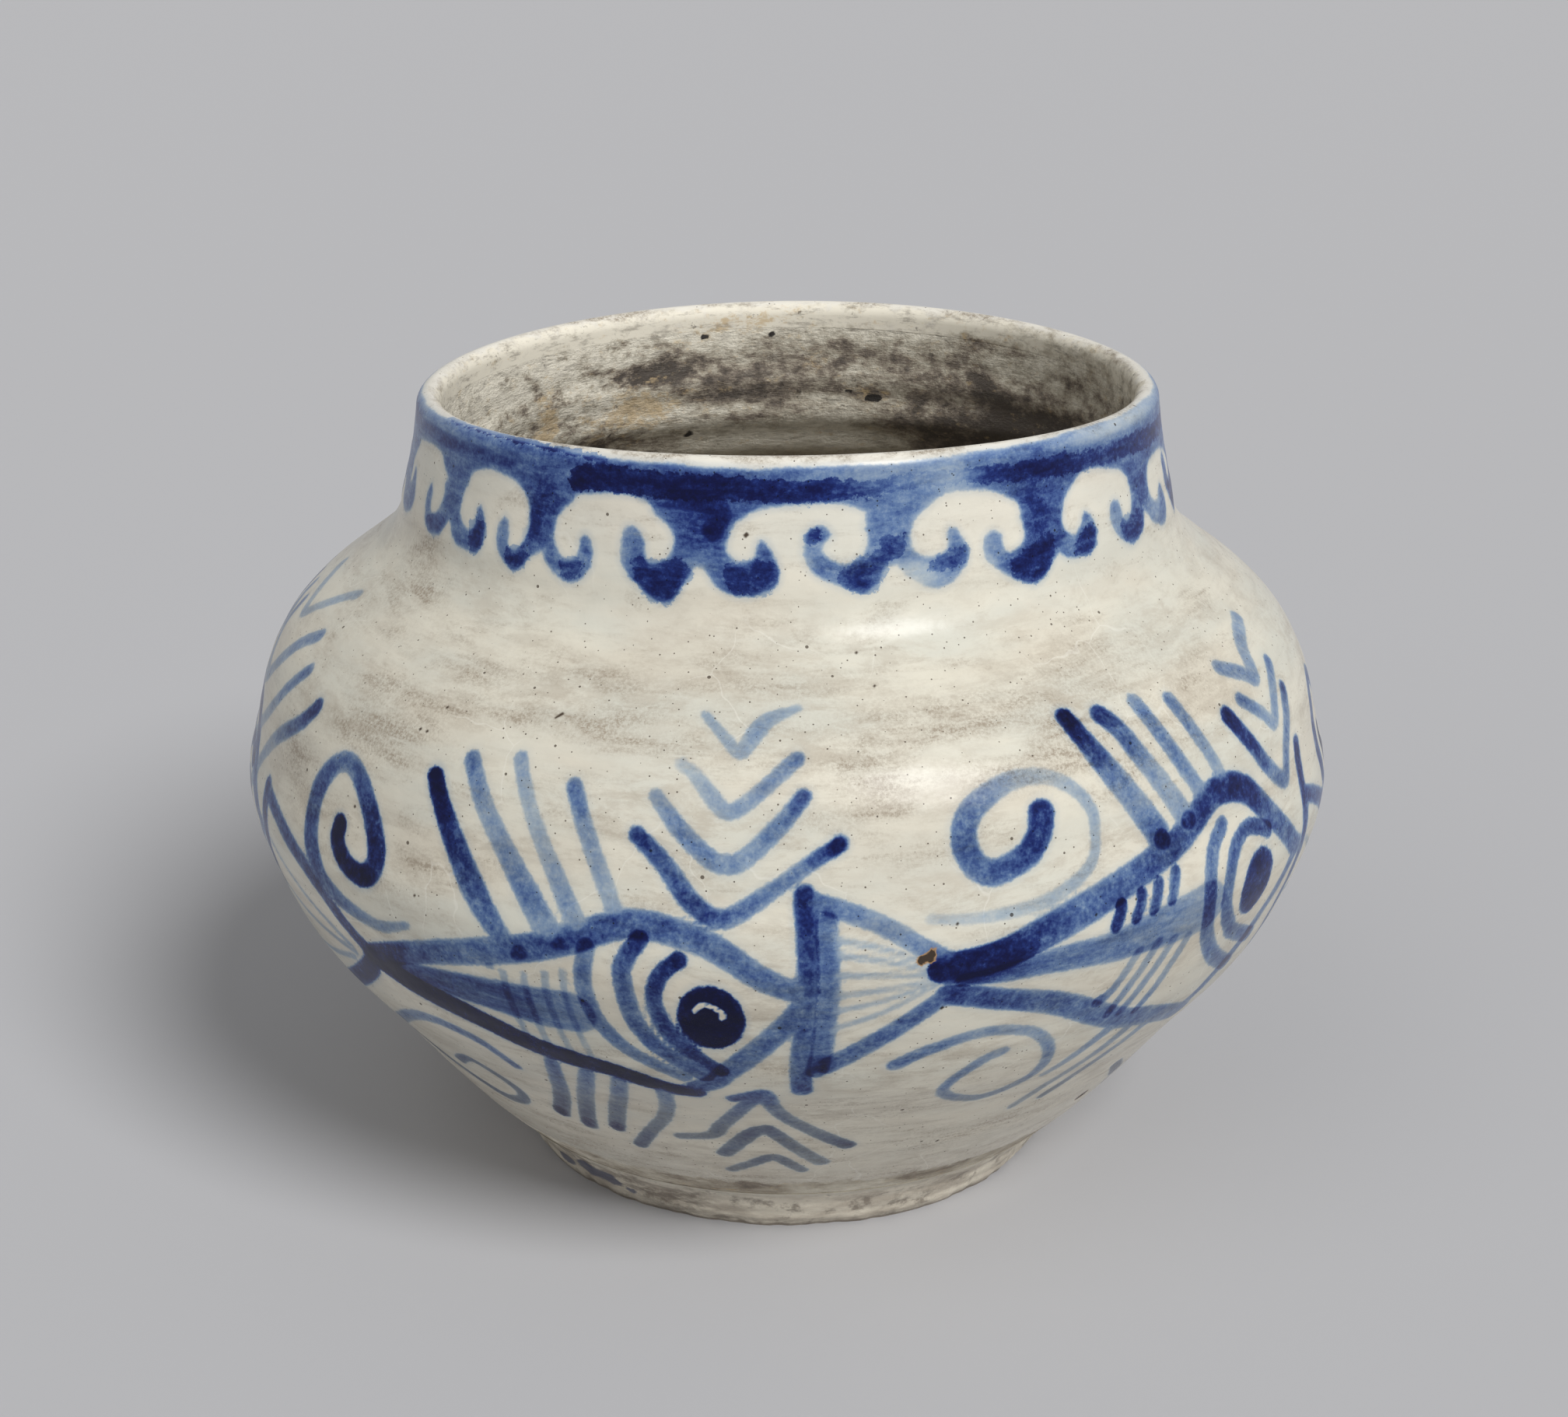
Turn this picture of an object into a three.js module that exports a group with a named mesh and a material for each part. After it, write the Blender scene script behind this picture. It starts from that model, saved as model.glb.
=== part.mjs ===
import * as THREE from 'three';

// A squat, round-bellied pottery jar with a short neck and a rounded lip. It stands upright on its turned
// foot, with +Z up and the origin on the ground under the middle of the foot. All sizes are in millimetres.
// The body is two thrown halves luted together at the belly, with a neck luted on, a foot ring under it, a
// glaze coat outside and a thin wash inside. Every piece is turned, so each is one closed lathe profile.

// Driving dimensions
const BELLY_RADIUS = 90;
const BELLY_HEIGHT = 69;
const SHOULDER_RADIUS = 85;
const SHOULDER_HEIGHT = 88;
const NECK_ROOT_RADIUS = 63.7;
const NECK_ROOT_HEIGHT = 110.5;
const LIP_OUTER_RADIUS = 60;
const MOUTH_RADIUS = 56;
const LIP_HEIGHT = 130.2;
const JAR_HEIGHT = 132.5;
const FOOT_RADIUS = 45.8;
const FOOT_HEIGHT = 10;
const FOOT_EDGE = 0.9;
const FOOT_BAND_HEIGHT = 7;
const FOOT_BAND_RADIUS = 49.3;
const FOOT_RING_INNER_RADIUS = 37.6;
const FOOT_RECESS = 4;
const FLOOR_RADIUS = 44;
const FLOOR_CORNER_RADIUS = 39;
const BELLY_JOINT_HEIGHT = 66.5;
const NECK_JOINT_HEIGHT = 109.3;
const SLIP_THICKNESS = 0.8;
const BELLY_WALL = 5.4;
const GLAZE_THICKNESS = 0.5;
const WASH_THICKNESS = 0.5;
const MOUTH_GLAZE_DEPTH = 4.5;
const TURN_STEPS = 48;
const LIP_STEPS = 6;

// Finished outside of the jar, as height and radius, from the foot's edge to the start of the lip
const OUTSIDE = [
  [FOOT_EDGE, FOOT_RADIUS],
  [FOOT_BAND_HEIGHT, FOOT_BAND_RADIUS],
  [FOOT_HEIGHT, 52.2],
  [14, 56.3],
  [22, 63.3],
  [33, 72],
  [44, 80.9],
  [55, 86.6],
  [BELLY_HEIGHT, BELLY_RADIUS],
  [77, 88.2],
  [SHOULDER_HEIGHT, SHOULDER_RADIUS],
  [93, 82],
  [98, 77],
  [102, 71.6],
  [106, 66.6],
  [NECK_ROOT_HEIGHT, NECK_ROOT_RADIUS],
  [114, 63],
  [120, 61.7],
  [126, 60.6],
  [LIP_HEIGHT, LIP_OUTER_RADIUS],
];

// Bare inside of the clay, from the floor's rounded corner to the mouth
const INSIDE = [
  [FOOT_HEIGHT, FLOOR_CORNER_RADIUS],
  [14, 48],
  [22, 56],
  [33, 65],
  [44, 74],
  [55, 80.2],
  [BELLY_HEIGHT, BELLY_RADIUS - GLAZE_THICKNESS - BELLY_WALL],
  [77, 82.3],
  [SHOULDER_HEIGHT, 78.8],
  [95, 73.5],
  [102, 65.3],
  [NECK_ROOT_HEIGHT, 58.6],
  [118, 57.2],
  [LIP_HEIGHT, MOUTH_RADIUS + GLAZE_THICKNESS],
];

// Heights where every wall surface has a ring of vertices, between the cuts that part the pieces
const LOWER_HEIGHTS = [14, 22, 33, 44, 52, 60];
const UPPER_HEIGHTS = [72, 80, SHOULDER_HEIGHT, 94, 100, 105];
const NECK_HEIGHTS = [112.5, 120];

const bellyJointLow = BELLY_JOINT_HEIGHT - SLIP_THICKNESS / 2;
const bellyJointHigh = BELLY_JOINT_HEIGHT + SLIP_THICKNESS / 2;
const neckJointLow = NECK_JOINT_HEIGHT - SLIP_THICKNESS / 2;
const neckJointHigh = NECK_JOINT_HEIGHT + SLIP_THICKNESS / 2;
const glazeEndInside = JAR_HEIGHT - MOUTH_GLAZE_DEPTH;

// A smooth curve through [height, radius] knots, which gives the radius and its slope at a height
function curveThrough(knots) {
  const last = knots.length - 1;
  const rise = (i) => (knots[i + 1][1] - knots[i][1]) / (knots[i + 1][0] - knots[i][0]);
  const span = (i) => knots[i + 1][0] - knots[i][0];
  const slopes = knots.map((knot, i) => {
    if (i === 0) return rise(0);
    if (i === last) return rise(last - 1);
    return (rise(i - 1) * span(i) + rise(i) * span(i - 1)) / (span(i - 1) + span(i));
  });
  return (height) => {
    let i = 0;
    while (i < last - 1 && height > knots[i + 1][0]) i += 1;
    const h = span(i);
    const t = (height - knots[i][0]) / h;
    const a = knots[i][1];
    const b = knots[i + 1][1];
    const radius = a * (1 - t) ** 2 * (1 + 2 * t) + b * t ** 2 * (3 - 2 * t)
      + h * t * (1 - t) * (slopes[i] * (1 - t) - slopes[i + 1] * t);
    const slope = (6 * t * (1 - t) * (b - a)) / h
      + slopes[i] * (1 - t) * (1 - 3 * t) + slopes[i + 1] * t * (3 * t - 2);
    return { radius, slope };
  };
}

const outside = curveThrough(OUTSIDE);
const inside = curveThrough(INSIDE);

// A coat's width seen level, where its thickness is measured square to the wall
function levelWidth(thickness, slope) {
  return thickness * Math.sqrt(1 + slope * slope);
}

const glazeFace = (height) => new THREE.Vector2(outside(height).radius, height);
const insideFace = (height) => new THREE.Vector2(inside(height).radius, height);

function clayFace(height) {
  const { radius, slope } = outside(height);
  return new THREE.Vector2(radius - levelWidth(GLAZE_THICKNESS, slope), height);
}

function washFace(height) {
  const { radius, slope } = inside(height);
  return new THREE.Vector2(radius - levelWidth(WASH_THICKNESS, slope), height);
}

// The rounded top of the lip, from its outer side over to its inner side, drawn in by the inset
function lipArc(inset) {
  const middle = (LIP_OUTER_RADIUS + MOUTH_RADIUS) / 2;
  const halfWidth = (LIP_OUTER_RADIUS - MOUTH_RADIUS) / 2 - inset;
  const rise = JAR_HEIGHT - LIP_HEIGHT - inset;
  const points = [];
  for (let i = 0; i <= LIP_STEPS; i += 1) {
    const angle = (Math.PI * i) / LIP_STEPS;
    points.push(new THREE.Vector2(middle + halfWidth * Math.cos(angle), LIP_HEIGHT + rise * Math.sin(angle)));
  }
  return points;
}

// Turns a profile once round +Z. It runs anticlockwise, seen with the radius to the right, and it either
// starts and ends on the axis or is closed on itself here.
function turned(name, color, roughness, profile) {
  const onAxis = profile[0].x === 0;
  const outline = onAxis ? profile : [...profile, profile[0].clone()];
  const geometry = new THREE.LatheGeometry(outline, TURN_STEPS);
  geometry.rotateX(Math.PI / 2);
  const material = new THREE.MeshStandardMaterial({ color, roughness, metalness: 0 });
  const mesh = new THREE.Mesh(geometry, material);
  mesh.name = name;
  return mesh;
}

// A ring of wall between an inner and an outer face, over the given heights
function wallBetween(heights, innerFace, outerFace) {
  const outer = heights.map(outerFace);
  const inner = [...heights].reverse().map(innerFace);
  return [...outer, ...inner];
}

const BARE_CLAY = 0xb9a88c;
const SLIP_CLAY = 0xc9bda6;
const IVORY_GLAZE = 0xccc7b4;
const INNER_WASH = 0x9a9183;

function footRing() {
  const point = (r, z) => new THREE.Vector2(r, z);
  return turned('foot_ring', BARE_CLAY, 0.75, [
    point(FOOT_RING_INNER_RADIUS + FOOT_EDGE, 0),
    point(FOOT_RADIUS - FOOT_EDGE, 0),
    glazeFace(FOOT_EDGE),
    glazeFace(FOOT_BAND_HEIGHT),
    glazeFace(FOOT_HEIGHT),
    point(FLOOR_RADIUS, FOOT_HEIGHT),
    point(FLOOR_RADIUS, FOOT_RECESS),
    point(FOOT_RING_INNER_RADIUS, FOOT_RECESS),
    point(FOOT_RING_INNER_RADIUS, FOOT_EDGE),
  ]);
}

function baseFloor() {
  return turned('base_floor', BARE_CLAY, 0.8, [
    new THREE.Vector2(0, FOOT_RECESS),
    new THREE.Vector2(FOOT_RING_INNER_RADIUS, FOOT_RECESS),
    new THREE.Vector2(FLOOR_RADIUS, FOOT_RECESS),
    new THREE.Vector2(FLOOR_RADIUS, FOOT_HEIGHT),
    new THREE.Vector2(FLOOR_CORNER_RADIUS, FOOT_HEIGHT),
    new THREE.Vector2(0, FOOT_HEIGHT),
  ]);
}

function lowerBody() {
  const heights = [FOOT_HEIGHT, ...LOWER_HEIGHTS, bellyJointLow];
  return turned('lower_body', BARE_CLAY, 0.8, wallBetween(heights, insideFace, clayFace));
}

function bellyJointSlip() {
  const heights = [bellyJointLow, bellyJointHigh];
  return turned('belly_joint_slip', SLIP_CLAY, 0.85, wallBetween(heights, insideFace, clayFace));
}

function upperBody() {
  const heights = [bellyJointHigh, ...UPPER_HEIGHTS, neckJointLow];
  return turned('upper_body', BARE_CLAY, 0.8, wallBetween(heights, insideFace, clayFace));
}

function neckJointSlip() {
  const heights = [neckJointLow, neckJointHigh];
  return turned('neck_joint_slip', SLIP_CLAY, 0.85, wallBetween(heights, insideFace, clayFace));
}

// The clay of the lip is the finished lip drawn in by the glaze, so its outer foot meets the neck's clay
function neckCollar() {
  const outer = [neckJointHigh, ...NECK_HEIGHTS].map(clayFace);
  const inner = [glazeEndInside, ...[...NECK_HEIGHTS].reverse(), neckJointHigh].map(insideFace);
  return turned('neck_collar', BARE_CLAY, 0.8, [...outer, ...lipArc(GLAZE_THICKNESS), ...inner]);
}

// One coat from above the foot, over the body, neck and lip, to a little way down inside the mouth
function outerGlaze() {
  const heights = [
    FOOT_HEIGHT,
    ...LOWER_HEIGHTS,
    bellyJointLow,
    bellyJointHigh,
    ...UPPER_HEIGHTS,
    neckJointLow,
    neckJointHigh,
    ...NECK_HEIGHTS,
  ];
  const finished = [...heights.map(glazeFace), ...lipArc(0), washFace(glazeEndInside)];
  const bonded = [...heights.map(clayFace), ...lipArc(GLAZE_THICKNESS), insideFace(glazeEndInside)];
  return turned('outer_glaze', IVORY_GLAZE, 0.15, [...finished, ...bonded.reverse()]);
}

// The wash lines the inside from the middle of the floor up to the end of the glaze in the mouth
function innerWash() {
  const heights = [
    ...LOWER_HEIGHTS,
    bellyJointLow,
    bellyJointHigh,
    ...UPPER_HEIGHTS,
    neckJointLow,
    neckJointHigh,
    ...NECK_HEIGHTS,
    glazeEndInside,
  ];
  const floorTop = FOOT_HEIGHT + WASH_THICKNESS;
  return turned('inner_wash', INNER_WASH, 0.7, [
    new THREE.Vector2(0, FOOT_HEIGHT),
    insideFace(FOOT_HEIGHT),
    ...heights.map(insideFace),
    ...[...heights].reverse().map(washFace),
    new THREE.Vector2(FLOOR_CORNER_RADIUS - WASH_THICKNESS, floorTop),
    new THREE.Vector2(0, floorTop),
  ]);
}

const jar = new THREE.Group();
jar.add(footRing());
jar.add(baseFloor());
jar.add(lowerBody());
jar.add(bellyJointSlip());
jar.add(upperBody());
jar.add(neckJointSlip());
jar.add(neckCollar());
jar.add(outerGlaze());
jar.add(innerWash());

export default jar;
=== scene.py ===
"""Looks for a squat pottery jar, glazed ivory over brush-painted blue fish and scrolls.

The outside skin, the foot, the inside wash and the neck's clay are turned again here with many more faces
than the frame's solids, so that the lip can run a little uneven and the wall can carry the painting. The
painting is held on the skin's vertices, as distances to brush strokes and the strength of their pigment.
"""

import math
from collections import namedtuple
from functools import partial

import bpy
import numpy as np
from mathutils import Matrix, Vector


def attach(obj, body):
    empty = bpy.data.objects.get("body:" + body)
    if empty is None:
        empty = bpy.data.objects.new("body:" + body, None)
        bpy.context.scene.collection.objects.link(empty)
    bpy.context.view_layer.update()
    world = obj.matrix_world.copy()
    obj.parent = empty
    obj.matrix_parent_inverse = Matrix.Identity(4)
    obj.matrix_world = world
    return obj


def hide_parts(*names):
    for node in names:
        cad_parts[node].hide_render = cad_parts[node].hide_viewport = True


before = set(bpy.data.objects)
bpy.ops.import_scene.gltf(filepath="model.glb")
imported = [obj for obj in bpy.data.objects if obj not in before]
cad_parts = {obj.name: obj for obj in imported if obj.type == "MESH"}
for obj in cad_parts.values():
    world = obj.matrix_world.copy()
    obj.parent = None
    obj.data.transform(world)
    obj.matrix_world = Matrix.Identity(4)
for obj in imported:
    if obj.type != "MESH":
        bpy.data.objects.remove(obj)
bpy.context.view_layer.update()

MM = 0.001

# Driving dimensions in millimetres, the same as the solids of the frame
LIP_HEIGHT = 130.2
LIP_RISE = 2.3
LIP_MIDDLE_RADIUS = 58
LIP_HALF_WIDTH = 2
GLAZE_THICKNESS = 0.5
WASH_THICKNESS = 0.5
GLAZE_END_INSIDE = 128
FOOT_RADIUS = 45.8
FOOT_HEIGHT = 10
FOOT_EDGE = 0.9
FOOT_RING_INNER_RADIUS = 37.6
FOOT_RECESS = 4
FLOOR_RADIUS = 44
FLOOR_CORNER_RADIUS = 39
NECK_CLAY_LOW = 109.7
LIP_CLAY_INSIDE = 129.6

# Finished outside of the jar, as height and radius
OUTSIDE = [
    (0.9, 45.8), (7, 49.3), (10, 52.2), (14, 56.3), (22, 63.3), (33, 72), (44, 80.9), (55, 86.6), (69, 90),
    (77, 88.2), (88, 85), (93, 82), (98, 77), (102, 71.6), (106, 66.6), (110.5, 63.7), (114, 63),
    (120, 61.7), (126, 60.6), (130.2, 60),
]

# Bare inside of the clay, as height and radius
INSIDE = [
    (10, 39), (14, 48), (22, 56), (33, 65), (44, 74), (55, 80.2), (69, 84.1), (77, 82.3), (88, 78.8),
    (95, 73.5), (102, 65.3), (110.5, 58.6), (118, 57.2), (130.2, 56.5),
]

# Columns round the jar and steps between rows of the turned skins. A wall's curve is first cut finely.
SKIN_COLUMNS = 720
INSIDE_COLUMNS = 360
NECK_COLUMNS = 240
CURVE_STEPS = 1500
FOOT_BAND_STEPS = 60
SKIN_ROW_STEP = 0.72
FOOT_ROW_STEP = 0.5
FOOT_BASE_STEP = 1.0
INSIDE_ROW_STEP = 1.2
FLOOR_ROW_STEP = 2.0
BACK_ROW_STEP = 3.0
LINING_BACK_STEP = 4.0
FLOOR_BACK_STEP = 6.0

# Uneven lip: its mean drop, its two-fold wave and its tilts to the right and to the back
LIP_DROP = 1.08
LIP_WAVE = 0.761
LIP_TILT = (0.011, -0.004)
SAG_START = 106
SAG_END = 132

# Part of the lip's tilt to the right that the painting doesn't follow, and the heights where it sets in
PAINT_TILT = 0.0082
TILT_START = 105
TILT_END = 132

# Hand-made unevenness in millimetres, always cut into the wall
WALL_WOBBLE = 0.22
WHEEL_GROOVE = 0.02
WHEEL_GROOVE_PITCH = 4.3
CHIP_DEPTH = 0.18
SPECK_DEPTH = 0.1
FOOT_CUT = 0.16
FOOT_CHATTER = 0.22
FOOT_CHATTER_RISE = 2.1
FOOT_GROOVE = 0.1
FOOT_GROOVE_PITCH = 2.7
FOOT_CUT_MOST = 0.6
FOOT_WEAR_MOST = 0.9
FOOT_WEAR_TOP = 3.4
FOOT_WEAR_FULL = 0.9
INSIDE_GROOVE = 0.35
INSIDE_GROOVE_PITCH = 7.5
INSIDE_WOBBLE = 0.5
BOWL_TURN_COVER = 0.6
BOWL_TURN_HEIGHT = 17.5
BOWL_TURN_REACH = 3.6

# Lower edge of the neck's blue ground, up the outside, and a band that holds the whole border
GROUND_FOOT = 141.6
NECK_RUN_LOW = 130
NECK_RUN_HIGH = 161

# Radius at which marks that run round the wheel are kept to scale
WHEEL_RADIUS = 80

Stroke = namedtuple("Stroke", "layer points width density")


def lengths(points):
    """How far along a polyline each of its points lies."""
    return np.concatenate([[0], np.cumsum(np.linalg.norm(np.diff(points, axis=0), axis=1))])


def ease(value, start, end):
    """0 up to start, 1 from end on, and even in between."""
    return np.clip((value - start) / (end - start), 0, 1)


def turn_of(columns):
    """Angles of the columns from the jar's front, as one row."""
    return np.arange(columns)[None, :] / columns * 2 * math.pi


def curve_through(knots):
    """A smooth curve through (height, radius) knots, as a function from heights to radii and slopes."""
    heights, radii = np.array(knots, float).T
    spans = np.diff(heights)
    rises = np.diff(radii) / spans
    between = (rises[:-1] * spans[1:] + rises[1:] * spans[:-1]) / (spans[:-1] + spans[1:])
    slopes = np.concatenate([rises[:1], between, rises[-1:]])

    def at(height):
        i = np.clip(np.searchsorted(heights, height, side="left") - 1, 0, len(spans) - 1)
        t = (height - heights[i]) / spans[i]
        u = 1 - t
        a, b, h = radii[i], radii[i + 1], spans[i]
        radius = a * u**2 * (1 + 2 * t) + b * t**2 * (3 - 2 * t)
        radius = radius + h * t * u * (slopes[i] * u - slopes[i + 1] * t)
        slope = 6 * t * u * (b - a) / h + slopes[i] * u * (1 - 3 * t) + slopes[i + 1] * t * (3 * t - 2)
        return radius, slope

    return at


outside = curve_through(OUTSIDE)
inside = curve_through(INSIDE)


def face_points(curve, heights, inset=0.0):
    """(radius, height) rows along a curve, drawn in square to the wall by inset."""
    heights = np.asarray(heights, float)
    radius, slope = curve(heights)
    return np.column_stack([radius - inset * np.sqrt(1 + slope**2), heights])


def even_rows(points, step):
    """Points at even steps along a fine smooth polyline, with only its ends kept."""
    run = lengths(points)
    count = max(1, int(round(run[-1] / step)))
    wanted = np.linspace(0, run[-1], count + 1)
    return np.column_stack([np.interp(wanted, run, points[:, k]) for k in range(2)])


def wall_rows(curve, low, high, step, inset=0.0):
    """(radius, height) rows at even steps along a wall, between two heights."""
    return even_rows(face_points(curve, np.linspace(low, high, CURVE_STEPS), inset), step)


def lip_points(inset, steps):
    """The rounded top of the lip, from its outer side over to its inner side."""
    angle = np.linspace(0, math.pi, steps + 1)
    return np.column_stack([
        LIP_MIDDLE_RADIUS + (LIP_HALF_WIDTH - inset) * np.cos(angle),
        LIP_HEIGHT + (LIP_RISE - inset) * np.sin(angle),
    ])


def spaced(points, step):
    """Points at even steps along a polyline, with its ends and corners kept."""
    points = np.asarray(points, float)
    return np.vstack([points[:1]] + [even_rows(np.array(pair), step)[1:] for pair in zip(points, points[1:])])


def rim_sag(angle, height):
    """How far the uneven lip stands off its level plane, in millimetres."""
    x = LIP_MIDDLE_RADIUS * np.sin(angle)
    y = -LIP_MIDDLE_RADIUS * np.cos(angle)
    lift = LIP_WAVE * np.cos(2 * angle) + LIP_TILT[0] * x + LIP_TILT[1] * y - LIP_DROP
    t = ease(height, SAG_START, SAG_END)
    return lift * t * t * (3 - 2 * t)


def turned(name, profile, columns, inward=0.0):
    """A closed solid turned round +Z from (radius, height) rows in millimetres.

    The rows close on themselves, or start and end on the axis. inward says how far each vertex is moved
    towards the axis. Angle 0 is the jar's front, on -Y, and angles grow towards +X.
    """
    angle = turn_of(columns)
    radius = profile[:, :1] - inward + 0 * angle
    height = profile[:, 1:] + rim_sag(angle, profile[:, 1:])
    grid = np.stack([radius * np.sin(angle), -radius * np.cos(angle), height], -1) * MM
    capped = profile[0, 0] == 0
    rings = grid[1:-1] if capped else grid
    closed = profile if capped else np.vstack([profile, profile[:1]])
    along = lengths(closed) / lengths(closed)[-1]
    v = along[1:-1] if capped else along
    low = np.arange(len(v) - 1)[:, None] * columns
    high = (low + columns) % (len(rings) * columns)
    j = np.arange(columns)
    k = (j + 1) % columns
    faces = np.stack([low + j, low + k, high + k, high + j], -1).reshape(-1, 4).tolist()
    u0, u1 = j / columns, (j + 1) / columns
    corner_u = np.stack([u0, u1, u1, u0], -1)[None]
    corner_v = np.stack([v[:-1], v[:-1], v[1:], v[1:]], -1)[:, None]
    uvs = np.stack(np.broadcast_arrays(corner_u, corner_v), -1).reshape(-1, 2)
    verts = rings.reshape(-1, 3)
    if capped:
        pole, last = len(verts), len(verts) - columns
        verts = np.vstack([verts, grid[0, :1], grid[-1, :1]])
        faces += [[pole, b, a] for a, b in zip(j.tolist(), k.tolist())]
        faces += [[pole + 1, last + a, last + b] for a, b in zip(j.tolist(), k.tolist())]
        middle = (u0 + u1) / 2
        fan = [[(m, along[0]), (b, v[0]), (a, v[0])] for m, a, b in zip(middle, u0, u1)]
        fan += [[(m, along[-1]), (a, v[-1]), (b, v[-1])] for m, a, b in zip(middle, u0, u1)]
        uvs = np.vstack([uvs, np.array(fan).reshape(-1, 2)])
    mesh = bpy.data.meshes.new(name)
    mesh.from_pydata(verts.tolist(), [], faces)
    mesh.uv_layers.new(name="OFBake").data.foreach_set("uv", uvs.astype(np.float32).ravel())
    mesh.shade_smooth()
    mesh.set_sharp_from_angle(angle=math.radians(40))
    return linked(name, mesh)


def linked(name, data):
    """A new object of the scene."""
    obj = bpy.data.objects.new(name, data)
    bpy.context.scene.collection.objects.link(obj)
    return obj


def wobble(angle, height, size, seed):
    """A slow, smooth unevenness between 0 and size, over a grid of angles and heights."""
    draw = np.random.default_rng(seed)
    total = 0
    for turns, rise in ((1, 60), (2, 45), (3, 33), (4, 70), (5, 24), (7, 30)):
        a, b = draw.uniform(0, 2 * math.pi, 2)
        total = total + np.sin(turns * angle + a + np.sin(height / rise * 2 * math.pi + b))
    return size * (0.5 + total / 12)


# Painting, read as (angle from the jar's front in degrees, distance up the outside in millimetres).
# A stroke's width is in millimetres and its density in steps from 0 bare, through 1 strong, to 2 blue-black.
# Both run evenly from its first point to its last. The pigment of the layers adds up where they cross:
# broad washes, lines, strokes over them, and full loads of the brush. The layer "bare" leaves no pigment.
wash = partial(Stroke, "wash")
line = partial(Stroke, "line")
over = partial(Stroke, "over")
load = partial(Stroke, "load")

CHEVRON_STACK = [
    line([(-8.8, 118.7), (-6.2, 114.8), (-4.6, 112.8), (-3.2, 116), (-1.8, 118.2), (1.2, 120.1)],
         (1.4, 2, 3, 1.4), (0.42, 0.4, 0.45, 0.35)),
    line([(-10.5, 110.8), (-9, 109.3), (-7.5, 106.8), (-5.5, 104.2), (-3, 106.5), (1, 112)],
         (2, 2.6, 2.4, 2.4), (0.2, 0.42, 0.5, 0.56, 0.8)),
    line([(-12.5, 105.8), (-10.3, 102), (-7.3, 97.8), (-5.5, 96.9), (-3.8, 97.8), (-0.5, 102.7),
          (1.6, 106.5)], (2.4, 2.8, 3, 2.8, 2.4), (0.5, 0.72, 0.68, 0.6, 0.7, 1.05)),
    line([(-14, 100.3), (-11.3, 96.5), (-8.6, 91.3), (-5.7, 89.2), (-2, 92.6), (2, 97), (4.8, 99.7)],
         (2.6, 3.2, 3, 2.4, 2.4), (1.1, 0.95, 1.12, 0.75, 0.75, 1.3)),
    over([(4.4, 99.2), (4.9, 99.9)], (2.4, 2.8), (0.5, 0.6)),
]

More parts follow.
